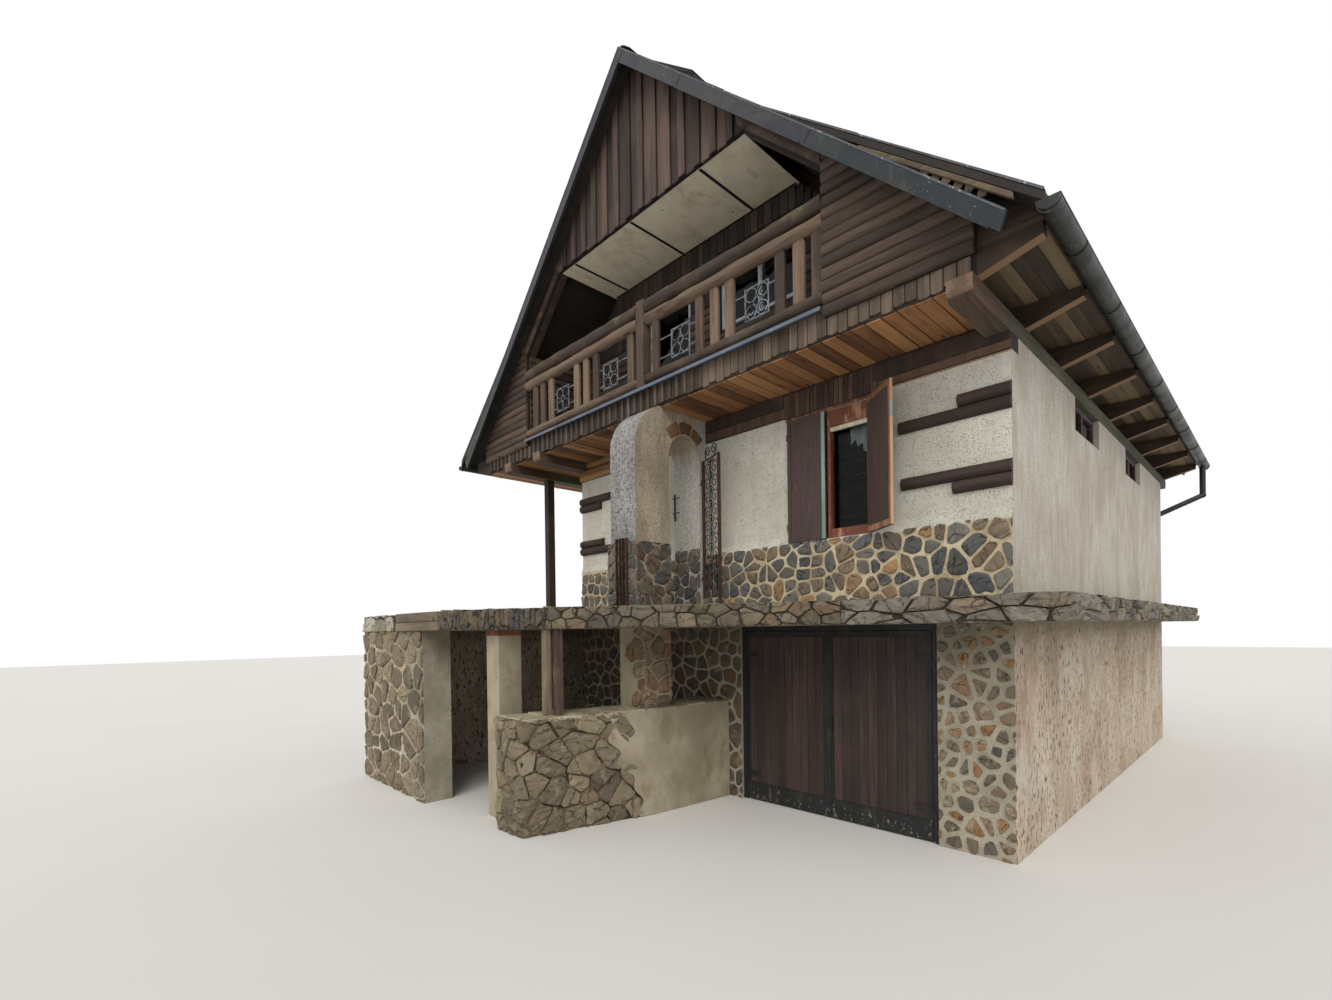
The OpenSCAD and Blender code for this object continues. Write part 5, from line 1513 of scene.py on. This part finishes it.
for x in (-0.715, -0.6):
    for x0, x1, out in ((0.0, 0.012, 1.325), (0.063, 0.075, 1.325), (0.012, 0.063, 1.283)):
        board(uprights, (x + x0, front - out, terrace + 0.002), (x + x1, outer_end, terrace + 0.84), 0.5)
rusty = sheet_metal("rust-brown steel", (58, 40, 32), (122, 84, 60), (86, 66, 52), roughness=0.72,
                    worn_at=0.56, dusty=0.6, metal=0.15)
piece("steel_uprights", uprights, rusty, bevel=0.002)


# Porch gate: stiles of brown painted tube, and between them a filling of forged scrolls in pairs along a
# middle bar, denser at the foot, with two volutes standing above the top rail.
brown_tube = sheet_metal("brown gate tube", (66, 42, 36), (132, 84, 62), (96, 72, 60), roughness=0.6,
                         worn_at=0.6, dusty=0.4, metal=0.2)
coat(brown_tube, "porch_gate")
way_out = Vector((math.cos(math.radians(-22)), math.sin(math.radians(-22))))
gate_pin = (-0.4, -4.345)


def on_gate(u, v):
    return (gate_pin[0] + way_out.x * u, gate_pin[1] + way_out.y * u, v)


gate_scrolls = heap()
mid_u, gate_low, gate_high = 0.2625, 2.512, 4.238
first_pair, pair_step = 2.995, 0.178
tube(gate_scrolls, [on_gate(mid_u, gate_low), on_gate(mid_u, gate_high)], 0.006, 6)
for k in range(7):
    z = first_pair + pair_step * k
    for way in (-1, 1):
        scroll(gate_scrolls, (mid_u + way * 0.098, z + 0.045), on_gate, 0.09, math.pi / 2 - way * math.pi / 2,
               1.35, way, 0.0055)
        scroll(gate_scrolls, (mid_u + way * 0.05, z - 0.045), on_gate, 0.042, -math.pi / 2, 1.0, -way, 0.0045)
    tube(gate_scrolls, [on_gate(mid_u, z - 0.012), on_gate(mid_u, z), on_gate(mid_u, z + 0.012)],
         lambda t: 0.007 + 0.012 * math.sin(math.pi * t), 8)
for z in (2.62, 2.76, 2.88):
    for u in (0.12, mid_u, 0.405):
        scroll(gate_scrolls, (u, z), on_gate, 0.058, 0, 1.0, 1, 0.0055)
        scroll(gate_scrolls, (u, z), on_gate, 0.03, math.pi, 1.0, -1, 0.005)
for u in (0.12, 0.19, 0.335, 0.405):
    tube(gate_scrolls, [on_gate(u, gate_low), on_gate(u, 2.925)], 0.005, 6)
for way in (-1, 1):
    scroll(gate_scrolls, (mid_u + way * 0.085, 4.335), on_gate, 0.082, -math.pi / 2, 1.6, way, 0.0065)
    scroll(gate_scrolls, (mid_u + way * 0.045, 4.2), on_gate, 0.04, math.pi / 2, 1.2, -way, 0.0055)
piece("gate_scrolls", gate_scrolls, iron, "gate_leaf", smooth=60)


# Cladding of the front beam: upright grooved boards over the window, two dark beams in steps at the right
# with a light fillet under them, and three yellowish half logs at the left of the porch.
stained_upright = timber("dark upright boards", "z", (40, 29, 24), (68, 50, 40), (108, 84, 68), bleached=0.3,
                         spread=0.9)
cladding, light_line, yellow_logs = heap(), heap(), heap()
x = 0.815
while x < 1.88:
    wide = carpenter.uniform(0.05, 0.075)
    board(cladding, (x + 0.002, front - 0.045, top + 0.032), (x + wide - 0.002, front - 0.0215, 4.77),
          carpenter.uniform(0.1, 0.9), 0.002, carpenter)
    x += wide
for x0, x1, y0, z0, z1 in ((1.9, right, 0.05, 4.605, 4.765), (1.9, right, 0.032, 4.53, 4.605),
                           (porch.y + 0.03, 0.81, 0.045, 4.64, 4.79),
                           (porch.y + 0.03, 0.81, 0.03, 4.528, 4.64)):
    board(cladding, (x0, front - y0, z0), (x1, front - 0.0215, z1), carpenter.random(), 0.002, carpenter)
board(light_line, (1.9, front - 0.018, 4.512), (right, front + 0.001, 4.5195), 0.9)
for n in range(3):
    half_log(yellow_logs, facing(0, front - 0.021, 0, "front"), lambda v: (left + 0.004, porch.x - 0.004),
             4.524 + n * 0.094, 4.618 + n * 0.094, 0.034, carpenter)
piece("beam_cladding", cladding, stained_upright, bevel=0.003)
fillet_wood = timber("light fillet", "x", (110, 84, 60), (150, 120, 88), (184, 156, 122))
piece("beam_fillet", light_line, fillet_wood, bevel=0.001)
piece("yellow_half_logs", yellow_logs, timber("yellowed half logs", "x", (82, 56, 30), (140, 104, 60),
                                              (176, 138, 88)), smooth=50)


# Roof: corrugated sheets over the boards, in three laps down each slope, mossy and faded. The boards of the
# lower covering show under the flatter eave, with a row of round-ended slates along its front edge.
roof_front, roof_back = gable_front - 0.22, gable_back + 0.22
kick, kick_fall = 2.1, 0.8695
# The roof boards are near black: painted shade on their undersides and in the gap under the verge.
painted_shade_roof_boards = timber("roof boards darkened as painted shade", "y", (30, 25, 21), (46, 38, 32), (70, 60, 51))
lower_boards = timber("old lower covering", "y", (28, 24, 20), (46, 40, 33), (76, 68, 56), 0.12, (92, 94, 58))
mossy_board = timber("lichened batten", "x", (60, 49, 37), (94, 80, 61), (124, 110, 86), 0.2, (118, 112, 66))
coat(painted_shade_roof_boards, "roof_right", "roof_left")
coat(lower_boards, "lower_covering")


@finish("mossy corrugated sheet", 0.82)
def corrugated_finish(at):
    faded = cloud(scaled(at, (1, 0.5, 1)), 0.9, 7.0, 0.66)
    colour = mix(between(faded, 0.36, 0.66), (84, 78, 70), (112, 104, 94))
    rust = between(cloud(scaled(at, (0.8, 5, 0.8)), 2.4, 7.0, 0.7), 0.54, 0.68)
    colour = mix(rust * 0.5, colour, (102, 74, 54))
    moss = use(growth, vector=at, amount=0.3)["Mask"]
    colour = mix(moss * 0.75, colour, (88, 94, 52))
    speck = between(cloud(at, 34.0, 5.0, 0.7), 0.58, 0.68)
    colour = mix(speck * 0.5, colour, (144, 140, 122))
    return {"base_color": colour, "normal": relief(cloud(at, 40.0, 4.0, 0.7), 0.004)}


def roof_top(d):
    return ridge - slope * d if d < kick else ridge - slope * kick - kick_fall * (d - kick)


covering = heap()
waves, per_wave = 68, 6
for way in (-1, 1):
    for row, (d0, d1) in enumerate(((0.05, 1.62), (1.5, 3.1), (2.98, 4.47))):
        downs = sorted({d0, d1, (d0 + d1) / 2} | ({kick} if d0 < kick < d1 else set()))
        sheet_lift = 0.011 + 0.004
        verts = []
        for d in downs:
            raised = 0.007 * (d - d0) / (d1 - d0)
            for k in range(waves * per_wave + 1):
                y = roof_front + 0.004 + (roof_back - roof_front - 0.008) * k / (waves * per_wave)
                wave = 0.009 * math.cos(2 * math.pi * k / per_wave)
                bend = 0.006 * noise.noise(Vector((d * 0.8, y * 0.6, row + way)))
                verts.append((middle + way * d, y, roof_top(d) + sheet_lift + wave + raised + max(0, bend)))
        add(covering, verts, sheet_faces(len(downs) - 1, waves * per_wave))
sheets_on = piece("corrugated_roof", covering, corrugated_finish, smooth=60)
gauge = sheets_on.modifiers.new("sheet", "SOLIDIFY")
gauge.thickness, gauge.offset = 0.002, 0
cap = heap()
for i in range(7):
    y0 = roof_front + 0.002 + i * (roof_back - roof_front) / 7
    y1 = y0 + (roof_back - roof_front) / 7 + 0.02 - (0.024 if i == 6 else 0)
    lift = 0.003 * (i % 2)
    line = [(-0.17, -0.135), (-0.06, -0.03), (0, 0.004), (0.06, -0.03), (0.17, -0.135)]
    verts = [(middle + u, y, ridge + 0.036 + v + lift) for y in (y0, y1) for u, v in line]
    add(cap, verts, sheet_faces(1, 4))
caps_on = piece("ridge_caps", cap, corrugated_finish)
caps_on.modifiers.new("sheet", "SOLIDIFY").thickness = 0.003
battens, slates_row = heap(), heap()
for way in (-1, 1):
    ends = []
    for d in (3.1, 4.28):
        z = roof_top(d) - roof_deep - 0.008
        ends.append([(middle + way * d, y, z - drop) for y in (roof_front - 0.004, roof_front + 0.03)
                     for drop in (0, 0.052)])
    add(battens, ends[0] + ends[1], box_sides)
    for i in range(9):
        d = 3.4 + i * 0.085
        z = roof_top(d) - roof_deep - 0.06
        turned, outline = -way * math.atan(kick_fall), [(-0.038, 0.03)]
        outline += [(0.038 * math.sin(a), -0.014 - 0.03 * math.cos(a))
                    for a in [math.pi * (k / 8 - 0.5) for k in range(9)]] + [(0.038, 0.03)]
        face = [(middle + way * d + u * math.cos(turned) - v * math.sin(turned),
                 z + u * math.sin(turned) + v * math.cos(turned)) for u, v in outline]
        out = roof_front + (0.004 if i % 2 else 0.017)
        add(slates_row, [(x, y, z) for y in (out, out + 0.012) for x, z in face], prism_faces(len(face)),
            carpenter.random())
piece("eave_battens", battens, mossy_board, bevel=0.006)
round_slate = stonework("round-ended slates", (88, 78, 58), (70, 64, 50), (102, 90, 66), (62, 55, 44),
                        shade=0.7, grown=0.16)
piece("round_ended_slates", slates_row, round_slate, bevel=0.002)


# Verges: a board in the plane of each gable end, clad in folded blue-black sheet; its paint has gone white
# along the fold on top, and the lengths of sheet lap over each other.
@finish("blue-black verge sheet", 0.46, metallic=0.3)
def verge_sheet(at):
    z = axes(at)[2]
    broad = between(cloud(scaled(at, (1, 1, 1.6)), 1.4, 6.0, 0.62), 0.36, 0.66)
    high = between(z, 6.35, 6.7)
    colour = mix(high, mix(broad, (32, 39, 46), (44, 48, 49)), mix(broad, (46, 47, 54), (58, 58, 62)))
    runs = between(cloud(scaled(at, (12, 12, 1.4)), 1.0, 6.0, 0.68), 0.52, 0.72)
    colour = mix(runs * 0.35, colour, (92, 94, 92))
    grown = between(cloud(at, 1.9, 7.0, 0.7), 0.56, 0.66)
    colour = mix(grown * 0.35, colour, (82, 86, 66))
    foot = between(z, 5.9, 5.3)
    scuffs = between(cloud(at, 26.0, 6.0, 0.72) + foot * 0.04, 0.67, 0.71)
    colour = mix(scuffs * 0.8, colour, (164, 168, 172))
    return {"base_color": colour, "normal": relief(cloud(at, 5.0, 2.0), 0.01)}


peeling = sheet_metal("peeling verge fold", (88, 92, 98), (176, 178, 180), (110, 110, 108), roughness=0.5,
                      worn_at=0.58, dusty=0.4, metal=0.3)
coat(verge_sheet, "bargeboards")
folds, laps = heap(), heap()
along, out_of = Vector((1, -slope)).normalized(), Vector((slope, 1)).normalized()
joints = (0.0, 1.449, 3.704, 5.93)


def verge_bar(to, way, start, stop, low, high, y_in, y_out):
    """A flat bar along a slope, between two distances from the ridge and two heights over the verge's top."""
    corners = []
    for s in (start, stop):
        for height in (low, high):
            at = along * s + out_of * height
            corners += [(middle + way * at.x, y, ridge + at.y) for y in (y_in, y_out)]
    add(to, corners, box_sides)


for y, outward in ((roof_front - 0.04, -1), (roof_back + 0.04, 1)):
    for way in (-1, 1):
        for k in range(3):
            start, stop = joints[k], joints[k + 1]
            verge_bar(folds, way, start, stop - 0.002, 0.0, 0.004, y - outward * 0.055, y + outward * 0.004)
            verge_bar(folds, way, start, stop - 0.002, -0.012, 0.001, y, y + outward * 0.004)
            verge_bar(laps, way, start, stop - 0.03, -0.134 - 0.003 * k, -0.122, y, y + outward * 0.005)
        for s in joints[1:3]:
            verge_bar(laps, way, s - 0.004, s + 0.03, -0.134, -0.002, y, y + outward * 0.0035)
        for k in range(3):
            d0, d1 = kick + k * 0.79, kick + (k + 1) * 0.79
            edge_line = [(middle + way * d, roof_top(d) + lift) for d in (d0, d1)
                         for lift in (0.006, 0.022 + 0.002 * k)]
            y_out = y - outward * 0.04
            add(folds, [(x, yy, z) for x, z in edge_line for yy in (y_out, y_out + outward * 0.004)],
                box_sides)
piece("verge_folds", folds, peeling, bevel=0.0008)
piece("verge_laps", laps, verge_sheet)


# Gutters and downpipes: half-round gutters of painted sheet whose lengths are joined with rings, closed at
# both ends, and round pipes that slant in to the corners of the house.
gutter_paint = sheet_metal("green-black gutter paint", (36, 42, 40), (108, 104, 92), (70, 72, 66),
                           roughness=0.42, worn_at=0.62, dusty=0.4, metal=0.35)
coat(gutter_paint, "rainwater_pipes")
rings, rims = heap(), heap()
half_turn = [math.pi * (1 + i / 14) for i in range(15)]
gutter_out, gutter_height, gutter_radius = 4.495, 5.029, 0.077
first_ring, ring_step = front - 0.316, 1.262
for x in (middle + gutter_out, middle - gutter_out):
    bow = [(x + gutter_radius * math.cos(a), gutter_height + gutter_radius * math.sin(a)) for a in half_turn]
    for k in range(8):
        y = first_ring + ring_step * k
        if y < gable_back + 0.2:
            tube(rings, [(px, y, pz) for px, pz in bow], 0.006, 6)
    for y in (gable_front - 0.188, gable_back + 0.198):
        tube(rims, [(px, y, pz) for px, pz in bow], 0.004, 6)
    for lip in (-0.074, 0.074):
        tube(rings, [(x + lip, gable_front - 0.22, 5.031), (x + lip, gable_back + 0.23, 5.031)], 0.006, 6)
piece("gutter_rings", rings, gutter_paint, smooth=60)
worn_rim = sheet_metal("worn gutter rim", (86, 90, 92), (170, 172, 170), (96, 96, 90), roughness=0.5,
                       worn_at=0.56, dusty=0.3, metal=0.35)
piece("gutter_end_rims", rims, worn_rim, smooth=60)


# Chimney: a low hood of dark sooty sheet that sits astride the ridge just behind the verge; its lid follows
# the roof at a flatter slope, folded down over its sides along the edges.
soot = sheet_metal("sooty chimney sheet", (34, 33, 32), (84, 72, 62), (64, 60, 55), roughness=0.7,
                   worn_at=0.64, dusty=0.5, metal=0.2)
coat(soot, "chimney")
hood_low, hood_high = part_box("chimney")
lid_slope, hem = 0.854, heap()
for way in (-1, 1):
    reach = (hood_high.x - hood_low.x) / 2 + 0.006
    for y0, y1 in ((hood_low.y - 0.006, hood_low.y - 0.001), (hood_high.y + 0.001, hood_high.y + 0.006)):
        tops = [(middle + way * d, hood_high.z + 0.004 - lid_slope * d) for d in (0.0, reach)]
        add(hem, [(x, y, z - drop) for x, z in tops for y in (y0, y1) for drop in (0, 0.045)], box_sides)
    tops = [(middle + way * d, hood_high.z + 0.001 - lid_slope * d) for d in (0.0, reach)]
    add(hem, [(x, y, z + lift) for x, z in tops for y in (hood_low.y - 0.006, hood_high.y + 0.006)
              for lift in (0, 0.004)], box_sides)
piece("chimney_folds", hem, soot)


# Floor, background, light and camera: a pale floor runs out of sight, the sky is a soft even white, and a
# wide soft sun stands high at the front right.
@finish("pale floor", 0.9)
def pale_floor(at):
    return {"base_color": mix(cloud(at, 0.4, 2.0), (226, 224, 220), (220, 218, 214))}


field = bpy.data.meshes.new("floor")
field.from_pydata([(-60, -60, 0), (60, -60, 0), (60, 60, 0), (-60, 60, 0)], [], [(0, 1, 2, 3)])
field.materials.append(pale_floor)
ground = bpy.data.objects.new("floor", field)
bpy.context.scene.collection.objects.link(ground)
ground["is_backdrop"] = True

world = bpy.data.worlds.new("studio")
bpy.context.scene.world = world
world.use_nodes = True
Value.tree = world.node_tree
light_path = node("LightPath", {}).outputs
camera_ray, glossy_ray, clear_ray = (Value(light_path["Is " + kind + " Ray"])
                                     for kind in ("Camera", "Glossy", "Transmission"))
level = calc("MAXIMUM", camera_ray, calc("MAXIMUM", glossy_ray, clear_ray)) * 0.28 + 0.72
backdrop = world.node_tree.nodes["Background"].inputs
backdrop["Color"].default_value = (1, 1, 1, 1)
world.node_tree.links.new(level.socket, backdrop["Strength"])

sun = bpy.data.lights.new("soft sun", "SUN")
sun.energy, sun.angle, sun.color = 1.5, math.radians(38), (1.0, 0.97, 0.92)
sun = bpy.data.objects.new("soft sun", sun)
sun.rotation_euler = Vector((-0.42, 0.62, -0.66)).to_track_quat("-Z", "Y").to_euler()
bpy.context.scene.collection.objects.link(sun)

yaw, pitch, roll = math.radians(46.203), math.radians(-0.229), math.radians(-0.78)
ahead = Vector((-math.sin(yaw) * math.cos(pitch), math.cos(yaw) * math.cos(pitch), math.sin(pitch)))
side = Vector((math.cos(yaw), math.sin(yaw), 0))
above = side.cross(ahead)
across = math.cos(roll) * side + math.sin(roll) * above
upward = math.cos(roll) * above - math.sin(roll) * side
lens = bpy.data.cameras.new("camera")
lens.sensor_width, lens.lens, lens.shift_y = 36, 16.288, 0.0992
camera = bpy.data.objects.new("camera", lens)
camera.matrix_world = Matrix((across, upward, -ahead)).transposed().to_4x4()
camera.location = (4.869, -10.073, 2.106)
bpy.context.scene.collection.objects.link(camera)
bpy.context.scene.camera = camera
bpy.context.scene.view_settings.view_transform = "Standard"

low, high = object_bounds()
{"cad": [list(cad_low), list(cad_high)], "visual": [list(low), list(high)]}
